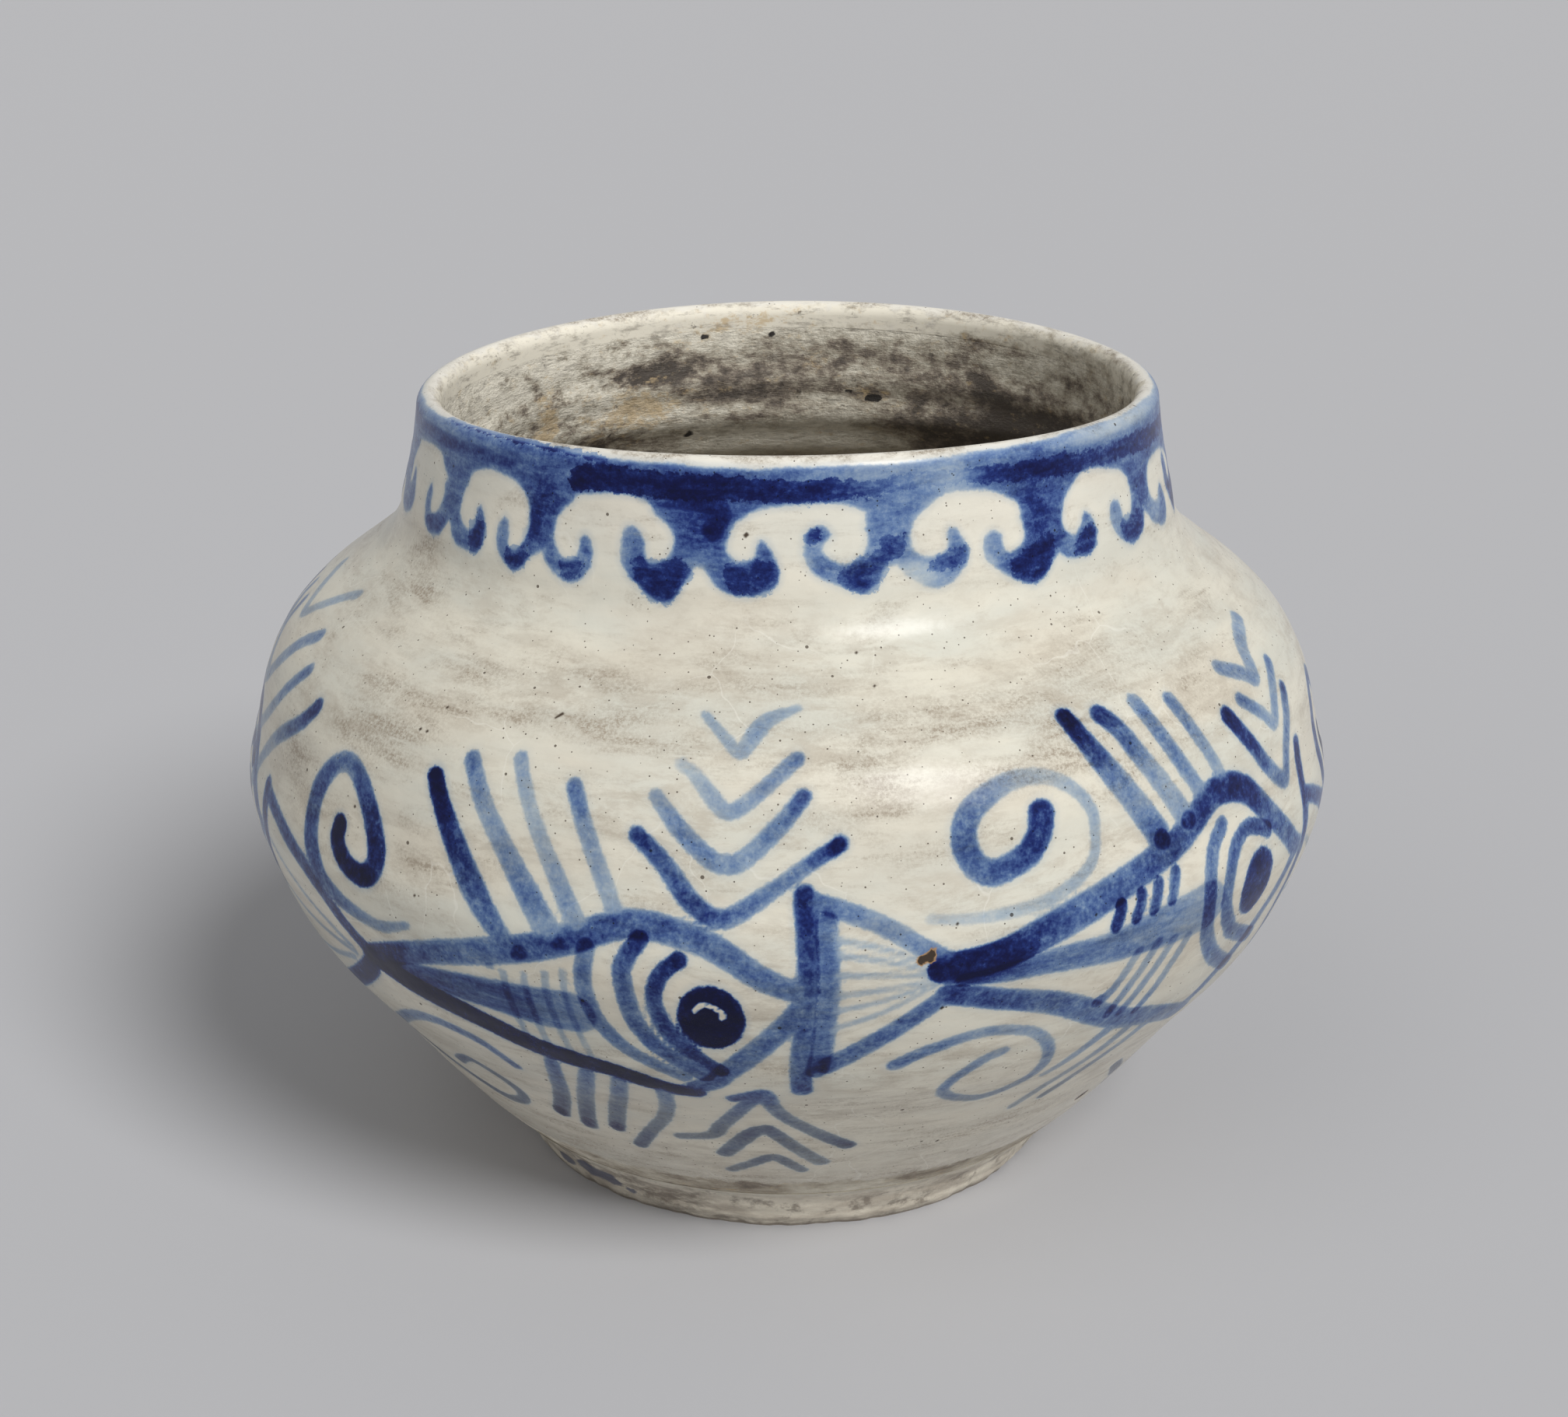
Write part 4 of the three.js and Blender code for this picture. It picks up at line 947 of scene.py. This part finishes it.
def make_foot():
    """The foot ring, cut uneven by the turning tool and worn at its edge."""
    outer = wall_rows(outside, FOOT_EDGE, FOOT_HEIGHT, FOOT_ROW_STEP)
    corners = [
        (outer[-1, 0], FOOT_HEIGHT), (FLOOR_RADIUS, FOOT_HEIGHT), (FLOOR_RADIUS, FOOT_RECESS),
        (FOOT_RING_INNER_RADIUS, FOOT_RECESS), (FOOT_RING_INNER_RADIUS, FOOT_EDGE),
        (FOOT_RING_INNER_RADIUS + FOOT_EDGE, 0), (FOOT_RADIUS - FOOT_EDGE, 0), (FOOT_RADIUS, FOOT_EDGE),
    ]
    profile = np.vstack([outer, spaced(corners, FOOT_BASE_STEP)[1:-1]])
    angle = turn_of(SKIN_COLUMNS)
    height = outer[:, 1:]
    draw = np.random.default_rng(5)
    chatter = 0
    for turns in (9, 14, 23, 37, 61, 90):
        a, b = draw.uniform(0, 2 * math.pi, 2)
        wave = np.sin(turns * angle + a) * np.sin(height / FOOT_CHATTER_RISE + b)
        chatter = chatter + wave / math.sqrt(turns)
    wear = 0
    for turns in (5, 8, 13, 21, 34, 55, 89):
        wear = wear + np.sin(turns * angle + draw.uniform(0, 2 * math.pi)) / turns**0.35
    wear = np.clip(0.2 + 0.3 * wear, 0, FOOT_WEAR_MOST)
    waves = np.sin(height / FOOT_GROOVE_PITCH * 2 * math.pi + 0.8 * np.sin(2 * angle))
    cut = FOOT_CUT + FOOT_CHATTER * chatter + FOOT_GROOVE * (1 + waves)
    inward = np.zeros((len(profile), SKIN_COLUMNS))
    inward[:len(outer)] = np.clip(cut, 0, FOOT_CUT_MOST) * ease(height, FOOT_HEIGHT, FOOT_HEIGHT - 0.8)
    inward[:len(outer)] += wear * ease(height, FOOT_WEAR_TOP, FOOT_WEAR_FULL) ** 1.5
    inward[-1:] += wear * 0.9
    obj = turned("foot_skin", profile, SKIN_COLUMNS, inward)
    put_tones(obj.data, "foot_tone", (FOOT_STAINS_AND_SHADE, FOOT_BLOTS), SKIN_COLUMNS, outer[:, 1])
    return obj


def make_lining():
    """The wash inside, with the wheel's rings in it."""
    wall = wall_rows(inside, FOOT_HEIGHT, GLAZE_END_INSIDE, INSIDE_ROW_STEP, WASH_THICKNESS)
    wall[0] = (FLOOR_CORNER_RADIUS - WASH_THICKNESS, FOOT_HEIGHT + WASH_THICKNESS)
    back = wall_rows(inside, GLAZE_END_INSIDE, FOOT_HEIGHT, LINING_BACK_STEP)
    floor_top = spaced([(0, FOOT_HEIGHT + WASH_THICKNESS), wall[0]], FLOOR_ROW_STEP)
    floor_low = spaced([back[-1], (0, FOOT_HEIGHT)], FLOOR_BACK_STEP)
    profile = np.vstack([floor_top[:-1], wall, back, floor_low[1:]])
    angle = turn_of(INSIDE_COLUMNS)
    height = wall[:, 1:]
    rings = INSIDE_GROOVE * (1 + np.sin(height / INSIDE_GROOVE_PITCH * 2 * math.pi + angle))
    fade = ease(height, GLAZE_END_INSIDE, GLAZE_END_INSIDE - 10) * ease(height, 12, 20)
    cover = BOWL_TURN_COVER * np.exp(-(((height - BOWL_TURN_HEIGHT) / BOWL_TURN_REACH) ** 2))
    inward = np.zeros((len(profile), INSIDE_COLUMNS))
    first = len(floor_top) - 1
    inward[first:first + len(wall)] = (rings + wobble(angle, height, INSIDE_WOBBLE, 3)) * fade + cover
    obj = turned("inside_lining", profile[::-1], INSIDE_COLUMNS, inward[::-1])
    put_tones(obj.data, "inside_tone", INSIDE_TONES, INSIDE_COLUMNS, profile[::-1][1:-1, 1])
    return obj


def make_neck_clay():
    """The neck's clay between the glaze and the wash, following the uneven lip."""
    heights = np.linspace(NECK_CLAY_LOW, LIP_HEIGHT, 12)
    outer = face_points(outside, heights, GLAZE_THICKNESS)
    inner = face_points(inside, heights[::-1][2:])
    lip = lip_points(GLAZE_THICKNESS, 8)[1:-1]
    below_lip = face_points(inside, [LIP_CLAY_INSIDE, GLAZE_END_INSIDE])
    return turned("neck_clay", np.vstack([outer, lip, below_lip, inner]), NECK_COLUMNS)


class Value:
    """What a node gives out. It adds, subtracts and multiplies like a number, by way of further nodes."""

    def __init__(self, graph, socket):
        self.graph = graph
        self.socket = socket

    def __add__(self, other):
        return self.graph.math("ADD", self, other)

    def __sub__(self, other):
        return self.graph.math("SUBTRACT", self, other)

    def __mul__(self, other):
        return self.graph.math("MULTIPLY", self, other)


class Graph:
    """A short way to write a material's nodes."""

    def __init__(self, name):
        self.material = bpy.data.materials.new(name)
        self.material.use_nodes = True
        self.nodes = self.material.node_tree.nodes
        self.links = self.material.node_tree.links
        self.nodes.clear()
        self.shader = self.nodes.new("ShaderNodeBsdfPrincipled")
        output = self.nodes.new("ShaderNodeOutputMaterial")
        self.links.new(self.shader.outputs["BSDF"], output.inputs["Surface"])
        self.place = self.add("TexCoord", {}, "Object")

    def fill(self, socket, value):
        """Links a value to a socket, or sets the socket to a number, a vector or a colour."""
        if isinstance(value, Value):
            self.links.new(value.socket, socket)
        elif socket.type == "RGBA":
            socket.default_value = (*value, 1)
        else:
            socket.default_value = value

    def add(self, kind, inputs, *outputs, **settings):
        """A new node with the given settings and inputs. Gives the outputs asked for."""
        node = self.nodes.new("ShaderNode" + kind)
        for name, setting in settings.items():
            setattr(node, name, setting)
        for key, value in inputs.items():
            self.fill(node.inputs[key], value)
        found = [Value(self, node.outputs[key]) for key in outputs]
        return found[0] if len(found) == 1 else found

    def math(self, operation, *numbers, clamp=False):
        return self.add("Math", dict(enumerate(numbers)), 0, operation=operation, use_clamp=clamp)

    def vector_of(self, name):
        return self.add("Attribute", {}, "Vector", attribute_name=name)

    def parts(self, vector):
        return self.add("SeparateXYZ", {0: vector}, 0, 1, 2)

    def place_mm(self):
        """The three coordinates of the surface's place on the jar, in millimetres."""
        return [part * (1 / MM) for part in self.parts(self.place)]

    def scaled(self, vector, scale):
        return self.add("Mapping", {"Vector": vector, "Scale": scale}, 0)

    def level(self, stretch):
        """The place on the jar, for marks drawn out level by the given factor."""
        return self.scaled(self.place, (1, 1, stretch))

    def wheel(self, stretch):
        """The place on the skin, for marks drawn out round the wheel wherever the wall leans."""
        return self.scaled(self.vector_of("wheel"), (1 / stretch, 1 / stretch, 1))

    def bent(self, place, amount):
        """The place pushed about by noise, so that lines through it wander."""
        push = self.add("TexNoise", {"Vector": self.place, "Scale": 120}, "Color")
        push = self.add("VectorMath", {0: push, "Scale": 2 * amount}, 0, operation="SCALE")
        return self.add("VectorMath", {0: place, 1: push}, 0)

    def noise(self, size_mm, detail=2.0, rough=0.5, place=None, distortion=0.0):
        """Noise from 0 to 1, whose patches are about size_mm across."""
        inputs = {"Vector": place or self.place, "Scale": 1 / (size_mm * MM), "Detail": detail}
        return self.add("TexNoise", {**inputs, "Roughness": rough, "Distortion": distortion}, "Fac")

    def cells(self, size_mm, *outputs, place=None, feature="F1"):
        inputs = {"Vector": place or self.place, "Scale": 1 / (size_mm * MM)}
        return self.add("TexVoronoi", inputs, *outputs, feature=feature)

    def step(self, value, low, high, out_low=0.0, out_high=1.0):
        """A smooth step of value from low to high."""
        inputs = {"Value": value, "From Min": low, "From Max": high, "To Min": out_low, "To Max": out_high}
        return self.add("MapRange", inputs, "Result", interpolation_type="SMOOTHSTEP")

    def ramp(self, value, stops):
        """The colour at value, between (position, colour) stops."""
        node = self.nodes.new("ShaderNodeValToRGB")
        self.fill(node.inputs["Fac"], value)
        elements = node.color_ramp.elements
        while len(elements) < len(stops):
            elements.new(0.5)
        for element, (position, colour) in zip(elements, stops):
            element.position = position
            element.color = (*colour, 1)
        return Value(self, node.outputs["Color"])

    def mix(self, share, a, b, blend="MIX"):
        return self.add("Mix", {"Factor": share, 6: a, 7: b}, 2, data_type="RGBA", blend_type=blend)

    def finished(self, colour, roughness, bump=None, strength=0.0, depth_mm=0.0):
        """The material, once its colour, its roughness and its bump are set."""
        self.fill(self.shader.inputs["Base Color"], colour)
        self.fill(self.shader.inputs["Roughness"], roughness)
        if bump:
            inputs = {"Strength": strength, "Distance": depth_mm * MM, "Height": bump}
            self.fill(self.shader.inputs["Normal"], self.add("Bump", inputs, "Normal"))
        return self.material


# How much of the glaze's own red, green and blue is left under each density of cobalt
COBALT = [
    (0.0, (1, 1, 1)), (0.3, (0.54, 0.66, 0.86)), (0.6, (0.32, 0.455, 0.75)), (0.85, (0.17, 0.29, 0.62)),
    (1.1, (0.075, 0.15, 0.46)), (1.45, (0.016, 0.040, 0.26)), (1.75, (0.007, 0.018, 0.155)),
    (2.1, (0.003, 0.007, 0.095)), (2.6, (0.002, 0.004, 0.055)),
]
COBALT_MOST = 2.6
GLAZE_IVORY = (0.70, 0.665, 0.56)
GLAZE_COOL = (0.62, 0.61, 0.53)
GLAZE_WARM = (0.62, 0.56, 0.455)
GLAZE_LIP = (0.80, 0.765, 0.68)
GLAZE_HAZE = (0.475, 0.425, 0.345)
DIRT_AND_SHADE_BROWN = (0.35, 0.30, 0.235)
SPECK_BROWN = (0.07, 0.05, 0.035)
CLAY_BROWN = (0.36, 0.22, 0.11)
CLAY_DARK = (0.05, 0.035, 0.025)
CRACK_PALE = (0.80, 0.78, 0.70)
FOOT_SPILL = (0.66, 0.62, 0.52)
FOOT_BLUE = (0.07, 0.085, 0.15)
INNER_TONES = [
    (0.28, (0.085, 0.07, 0.058)), (0.40, (0.23, 0.19, 0.15)), (0.50, (0.43, 0.38, 0.30)),
    (0.60, (0.60, 0.555, 0.455)), (0.74, (0.82, 0.77, 0.65)),
]
INNER_CREAM = (0.84, 0.795, 0.68)
INNER_OCHRE = (0.60, 0.45, 0.255)
INNER_PIT = (0.07, 0.055, 0.045)
INNER_STREAK = (0.13, 0.107, 0.085)
INNER_HOLE = (0.02, 0.016, 0.013)
FLOOR_GREY = (0.49, 0.49, 0.505)

# The three tones of each clay: light, dark and stained; the foot's stained tone also paints shade on its left
BARE_CLAY = (0.46, 0.38, 0.27), (0.37, 0.30, 0.21), (0.27, 0.20, 0.13)
SLIP_CLAY = (0.54, 0.47, 0.36), (0.47, 0.40, 0.30), (0.38, 0.31, 0.22)
FOOT_CLAY = (0.74, 0.68, 0.56), (0.54, 0.48, 0.39), (0.20, 0.165, 0.13)

GLAZE_SPECULAR = 0.2
GLAZE_ROUGHNESS = 0.25
WASH_ROUGHNESS = 0.7
FOOT_ROUGHNESS = 0.5
CLAY_ROUGHNESS = 0.85
FLOOR_ROUGHNESS = 0.9

# The thinner strokes turn greyer and darker, as painted shade under the belly, from the first of these runs
# up the outside down to the second
UNDER_RUN_TOP = 56.0
UNDER_RUN_LOW = 40.0
UNDER_SHADE_GREYING = 0.42
UNDER_SHADE_INK = (0.10, 0.08, 0.04)

# Radii between which the ragged glaze gives way to the wash, past the top of the lip
GLAZE_ENDS = (57.4, 56.2)


def pigment(graph, layer, rag, mottling, grains, mottle, flow, fade):
    """The pigment of one layer: a ragged core, stronger in its middle, with a thin halo."""
    gap, ink, _ = graph.parts(graph.vector_of("paint_" + layer))
    core = graph.step(gap + rag, *fade) * graph.step(gap, 0.0, -1.3, 0.82, 1.12)
    halo = graph.step(gap, 1.3, -0.1) * flow
    texture = mottling * mottle + (0.475 - mottle / 2) + grains
    return (core + halo) * ink * texture


def all_pigment(graph, fine, ragged):
    """The density of cobalt from all the layers."""
    patch = graph.noise(3.2, 3, 0.6)
    torn = (graph.noise(1.5, 5, 0.72) - 0.5) * 3.4
    brushed = graph.noise(1.6, 4, 0.7, graph.wheel(3.5), 0.3)
    grains = fine * 0.7 + graph.noise(0.3, 2, 0.6) * 0.35
    broad = pigment(graph, "wash", ragged, brushed, grains, 1.3, 0.13, (0.28, -0.42))
    lines = pigment(graph, "line", ragged, patch, grains, 1.1, 0.07, (0.26, -0.4))
    overs = pigment(graph, "over", ragged, patch, grains, 0.9, 0.05, (0.24, -0.34))
    loads = pigment(graph, "load", torn, brushed, grains, 1.2, 0.04, (0.42, 0.24))
    return broad + lines + overs + loads


def haze_share(graph, run):
    """Dull haze in drawn-out patches, thinner up the shoulder."""
    fog = graph.noise(3.6, 7, 0.76, graph.wheel(2.4), 0.3)
    patches = graph.step(graph.noise(12, 4, 0.6, graph.wheel(2), 0.3), 0.36, 0.62, 0.15, 1.0)
    return graph.step(fog, 0.42, 0.62, 0.0, 0.66) * patches * graph.step(run, 150.0, 116.0, 0.2, 1.0)


def dirt_and_shade_share(graph, smudge_and_shade, run, level, cloud):
    """Grey-brown dirt in the smudges, with their painted shade, and in streaks round the wheel, with more at
    the lip and the foot.
    """
    streak = graph.noise(4.2, 7, 0.72, level, 0.4)
    brushed = graph.noise(2.6, 7, 0.72, graph.wheel(8), 0.2)
    dust = graph.step(graph.noise(0.5, 3, 0.8), 0.36, 0.64, 0.35, 1.25)
    smudged_and_shaded = smudge_and_shade * graph.step(streak, 0.3, 0.66) * 0.8
    loose = graph.step(streak, 0.52, 0.7) * 0.42
    lines = graph.step(brushed, 0.5, 0.7) * graph.step(run, 80.0, 30.0, 0.3, 0.65)
    lip = graph.step(run, 156.0, 158.0) * graph.step(streak, 0.44, 0.58) * 0.7
    foot = graph.step(run, 19.0, 12.0) * graph.step(cloud, 0.42, 0.6) * 0.22
    return graph.math("ADD", smudged_and_shaded, loose + lines + lip + foot, clamp=True) * dust


def crack_share(graph):
    """Fine craze lines, in places."""
    bent = graph.bent(graph.level(0.6), 0.003)
    edge = graph.cells(15, "Distance", place=bent, feature="DISTANCE_TO_EDGE")
    return graph.step(edge, 0.009, 0.002) * graph.step(graph.noise(22, 2), 0.48, 0.58, 0.0, 0.3)


def dot_share(graph, size, chance, radius):
    """Round dots of uneven size, one to a cell in some of the cells."""
    distance, colour = graph.cells(size, "Distance", "Color")
    luck, spread, _ = graph.add("SeparateColor", {0: colour}, 0, 1, 2)
    reach = graph.math("GREATER_THAN", luck, chance) * radius * (spread + 0.5)
    return graph.math("LESS_THAN", distance, reach) * 0.85


def glaze_ground(graph, smudge_and_shade, run):
    """The glaze under the painting: ivory, clouded, smudged with some painted shade, crazed and specked."""
    level = graph.wheel(3.4)
    cloud = graph.noise(10, 4, 0.55, level)
    base = graph.mix(graph.step(cloud, 0.36, 0.66), GLAZE_IVORY, GLAZE_COOL)
    base = graph.mix(graph.step(graph.noise(11, 3, 0.5, level), 0.46, 0.72) * 0.55, base, GLAZE_WARM)
    # Warmer and darker towards the foot: partly the glaze's own tone, partly painted shade under the belly
    base = graph.mix(graph.step(run, 80.0, 25.0) * 0.4, base, GLAZE_WARM)
    base = graph.mix(graph.step(run, 128.0, 150.0, 0.0, 0.35), base, GLAZE_LIP)
    base = graph.mix(graph.step(run, 154.5, 158.0), base, GLAZE_LIP)
    base = graph.mix(haze_share(graph, run), base, GLAZE_HAZE)
    base = graph.mix(dirt_and_shade_share(graph, smudge_and_shade, run, level, cloud), base, DIRT_AND_SHADE_BROWN)
    base = graph.mix(crack_share(graph), base, CRACK_PALE)
    base = graph.mix(dot_share(graph, 1.0, 0.5, 0.1), base, SPECK_BROWN)
    return graph.mix(dot_share(graph, 3.6, 0.72, 0.06), base, SPECK_BROWN)


def inner_wear(graph):
    """1 where the glaze gives way to the inside's thin wash, raggedly."""
    x, y, _ = graph.place_mm()
    rag = (graph.noise(3.5, 5, 0.7) - 0.5) * 5.0
    return graph.step(graph.math("SQRT", x * x + y * y) + rag, *GLAZE_ENDS)


def inner_colour(graph):
    """The wash of the inside: cream near the rim, then grey, brown and ochre in drawn-out patches, with
    painted light on the left and painted shade on the right.
    """
    level = graph.level(1.7)
    x, _, height = graph.place_mm()
    light, yellow, pitted = graph.parts(graph.vector_of("inside_tone"))
    reach = graph.step(height, 94.0, 118.0, 0.4, 1.0)
    contrast = graph.step(x, -36.0, -8.0, 1.9, 1.15) * reach
    tone = (graph.noise(20, 5, 0.6, level, 0.2) - 0.5) * 0.8
    tone = tone + (graph.noise(4.5, 6, 0.76, level, 0.15) - 0.5) * contrast
    # The listed places add stains, painted light on the left wall and painted shade on the right side
    tone = tone + light + graph.step(height, 122.0, 131.5, 0.5, 0.62)
    colour = graph.ramp(tone, INNER_TONES)
    rubbed = graph.step(graph.noise(6, 6, 0.78, graph.level(3.5)), 0.54, 0.68)
    colour = graph.mix(rubbed * graph.step(tone, 0.3, 0.62, 0.1, 0.6), colour, INNER_CREAM)
    ochre = graph.noise(3.4, 6, 0.78, level) + yellow * 0.2
    colour = graph.mix(graph.step(ochre, 0.56, 0.72) * 0.75, colour, INNER_OCHRE)
    pit = graph.step(graph.noise(3.4, 4, 0.75), 0.62, 0.7)
    colour = graph.mix(pit * reach * 0.7, colour, INNER_PIT)
    streak = graph.step(graph.noise(5, 6, 0.75, graph.level(4)), 0.5, 0.66)
    colour = graph.mix(streak * reach * 0.5, colour, INNER_STREAK)
    hole = pitted + graph.noise(1.5, 3, 0.6) * 0.5
    return graph.mix(graph.step(hole, 0.7, 0.9), colour, INNER_HOLE)


def glaze_material():
    graph = Graph("painted glaze")
    fine = graph.noise(0.8, 3, 0.6)
    ragged = (fine - 0.5) * 0.9
    bare, clay, speck = graph.parts(graph.vector_of("paint_bare"))
    density = all_pigment(graph, fine, ragged) * graph.step(bare, -0.25, 0.25)
    share = graph.math("DIVIDE", density, COBALT_MOST, clamp=True)
    cobalt = graph.ramp(share, [(amount / COBALT_MOST, left) for amount, left in COBALT])
    smudge_and_shade, run, _ = graph.parts(graph.vector_of("glaze_tone"))
    ground = graph.mix(graph.step(speck, 0.2, -0.2), glaze_ground(graph, smudge_and_shade, run), SPECK_BROWN)
    colour = graph.mix(1.0, ground, cobalt, "MULTIPLY")
    thin = graph.step(density, 0.15, 0.6) * graph.step(density, 1.9, 1.2)
    # Painted shade: the thin strokes low on the body are greyed and darkened
    shade_greyed = thin * graph.step(run, UNDER_RUN_TOP, UNDER_RUN_LOW, 0.0, UNDER_SHADE_GREYING)
    colour = graph.mix(shade_greyed, colour, UNDER_SHADE_INK)
    colour = graph.mix(graph.step(clay + ragged, 0.3, 0.08), colour, CLAY_BROWN)
    colour = graph.mix(graph.step(clay + ragged, 0.1, -0.1), colour, CLAY_DARK)
    worn = inner_wear(graph)
    colour = graph.mix(worn, colour, inner_colour(graph))
    roughness = worn * (WASH_ROUGHNESS - GLAZE_ROUGHNESS) + GLAZE_ROUGHNESS
    graph.shader.inputs["Specular IOR Level"].default_value = GLAZE_SPECULAR
    return graph.finished(colour, roughness, graph.noise(5, 3, 0.5) + fine * 0.12, 0.35, 0.35)


def foot_marks(graph, base, level, darkest_tone):
    """The foot's glaze spill, brown stains with painted shade on the left, and blue blots over its clay."""
    height = graph.place_mm()[2]
    stained_and_shaded, blotted, _ = graph.parts(graph.vector_of("foot_tone"))
    spill = graph.step(height + graph.noise(3, 5, 0.7) * 5.0, 10.6, 11.6, 0.0, 0.75)
    torn = graph.noise(4, 6, 0.75, level)
    edges = graph.step(height, 8.6, 9.9, 0.0, 0.15) + graph.step(height, 2.0, 0.4, 0.0, 0.6)
    # The stains on the left of the foot are also painted shade, in the clay's darkest tone
    worn = (edges + stained_and_shaded) * graph.step(torn, 0.34, 0.62)
    worn = graph.math("ADD", worn, graph.step(height, 0.8, 0.3, 0.0, 0.7), clamp=True)
    base = graph.mix(spill, base, FOOT_SPILL)
    base = graph.mix(worn * 0.85, base, darkest_tone)
    return graph.mix(graph.step(blotted + torn * 0.7, 0.75, 0.95, 0.0, 0.8), base, FOOT_BLUE)


def clay_material(name, tones, roughness, marks=None):
    graph = Graph(name)
    light, dark, darkest_tone = tones
    level = graph.level(3)
    base = graph.mix(graph.step(graph.noise(9, 5, 0.6, level), 0.4, 0.62), light, dark)
    base = graph.mix(graph.step(graph.noise(4, 5, 0.7), 0.5, 0.68) * 0.8, base, darkest_tone)
    if marks:
        base = marks(graph, base, level, darkest_tone)
    return graph.finished(base, roughness, graph.noise(0.9, 4, 0.7), 0.5, 0.25)


def lining_material():
    graph = Graph("inner wash")
    torn = graph.noise(5, 6, 0.78, graph.level(3.5)) * 1.6
    return graph.finished(inner_colour(graph), WASH_ROUGHNESS, graph.noise(1.6, 4, 0.7) + torn, 0.7, 0.6)


def dress(obj, material):
    obj.data.materials.clear()
    obj.data.materials.append(material)


def build_jar():
    bare_clay = clay_material("bare clay", BARE_CLAY, CLAY_ROUGHNESS)
    slip_clay = clay_material("joint slip", SLIP_CLAY, CLAY_ROUGHNESS)
    foot_clay = clay_material("foot clay", FOOT_CLAY, FOOT_ROUGHNESS, foot_marks)
    pieces = [
        (make_glaze(), "outer_glaze", "painted_glaze", glaze_material()),
        (make_foot(), "foot_ring", "foot_clay", foot_clay),
        (make_lining(), "inner_wash", "inner_wash", lining_material()),
        (make_neck_clay(), "neck_collar", "bare_clay", bare_clay),
    ]
    for obj, node, slot, material in pieces:
        dress(obj, material)
        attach(obj, "root")
        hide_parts(node)
    for node in ("base_floor", "lower_body", "upper_body"):
        dress(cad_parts[node], bare_clay)
    for node in ("belly_joint_slip", "neck_joint_slip"):
        dress(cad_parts[node], slip_clay)


# The floor's half width in metres
FLOOR_HALF = 5.0

# The room's strength as light, and as it is seen
ROOM_LIGHT = 0.3
ROOM_SEEN = 0.52

# Each lamp's direction from the jar, its angular width in radians and its strength
LAMPS = {"key": ((0.41, -0.60, 0.69), 0.4, 2.65), "fill": ((-0.45, -0.55, 0.70), 0.7, 0.3)}

# The camera's place in metres, its angles in radians and its focal length in millimetres
CAMERA_PLACE = (0, -0.4288, 0.2269)
CAMERA_YAW = -0.0012
CAMERA_PITCH = 0.3434
CAMERA_ROLL = 0.0011
CAMERA_LENS = 61.607
SENSOR_WIDTH = 36


def add_floor():
    corners = [(x * FLOOR_HALF, y * FLOOR_HALF, 0) for x, y in ((-1, -1), (1, -1), (1, 1), (-1, 1))]
    mesh = bpy.data.meshes.new("floor")
    mesh.from_pydata(corners, [], [(0, 1, 2, 3)])
    floor = linked("floor", mesh)
    dress(floor, Graph("pale floor").finished(FLOOR_GREY, FLOOR_ROUGHNESS))


def add_sun(name, towards, width, strength):
    """A wide, soft lamp at a great distance, in the given direction from the jar."""
    data = bpy.data.lights.new(name, "SUN")
    data.angle = width
    data.energy = strength
    sun = linked(name, data)
    sun.location = Vector(towards) * 2
    sun.rotation_euler = Vector(towards).to_track_quat("Z", "Y").to_euler()


def add_room():
    """White light from all round, stronger for what is seen directly or mirrored than for what it lights."""
    world = bpy.data.worlds.new("studio")
    world.use_nodes = True
    tree = world.node_tree
    path = tree.nodes.new("ShaderNodeLightPath")
    seen = path.outputs["Is Camera Ray"]
    for ray in ("Is Glossy Ray", "Is Transmission Ray"):
        either = tree.nodes.new("ShaderNodeMath")
        either.operation = "MAXIMUM"
        tree.links.new(seen, either.inputs[0])
        tree.links.new(path.outputs[ray], either.inputs[1])
        seen = either.outputs[0]
    strength = tree.nodes.new("ShaderNodeMapRange")
    tree.links.new(seen, strength.inputs["Value"])
    strength.inputs["To Min"].default_value = ROOM_LIGHT
    strength.inputs["To Max"].default_value = ROOM_SEEN
    background = tree.nodes["Background"]
    tree.links.new(strength.outputs["Result"], background.inputs["Strength"])
    background.inputs["Color"].default_value = (1, 1, 1, 1)
    bpy.context.scene.world = world


def add_camera():
    """A camera at the photograph's place, looking down at the jar by 20 degrees."""
    forward = Vector((
        math.sin(CAMERA_YAW) * math.cos(CAMERA_PITCH), math.cos(CAMERA_YAW) * math.cos(CAMERA_PITCH),
        -math.sin(CAMERA_PITCH),
    ))
    level = Vector((math.cos(CAMERA_YAW), -math.sin(CAMERA_YAW), 0))
    up = level.cross(forward)
    right = level * math.cos(CAMERA_ROLL) + up * math.sin(CAMERA_ROLL)
    up = up * math.cos(CAMERA_ROLL) - level * math.sin(CAMERA_ROLL)
    data = bpy.data.cameras.new("camera")
    data.sensor_fit = "HORIZONTAL"
    data.sensor_width = SENSOR_WIDTH
    data.lens = CAMERA_LENS
    data.clip_start = 0.01
    camera = linked("camera", data)
    turn = Matrix((right, up, -forward)).transposed().to_4x4()
    camera.matrix_world = Matrix.Translation(CAMERA_PLACE) @ turn
    bpy.context.scene.camera = camera


build_jar()
add_floor()
add_room()
for name, lamp in LAMPS.items():
    add_sun(name, *lamp)
add_camera()
bpy.context.scene.view_settings.view_transform = "Standard"
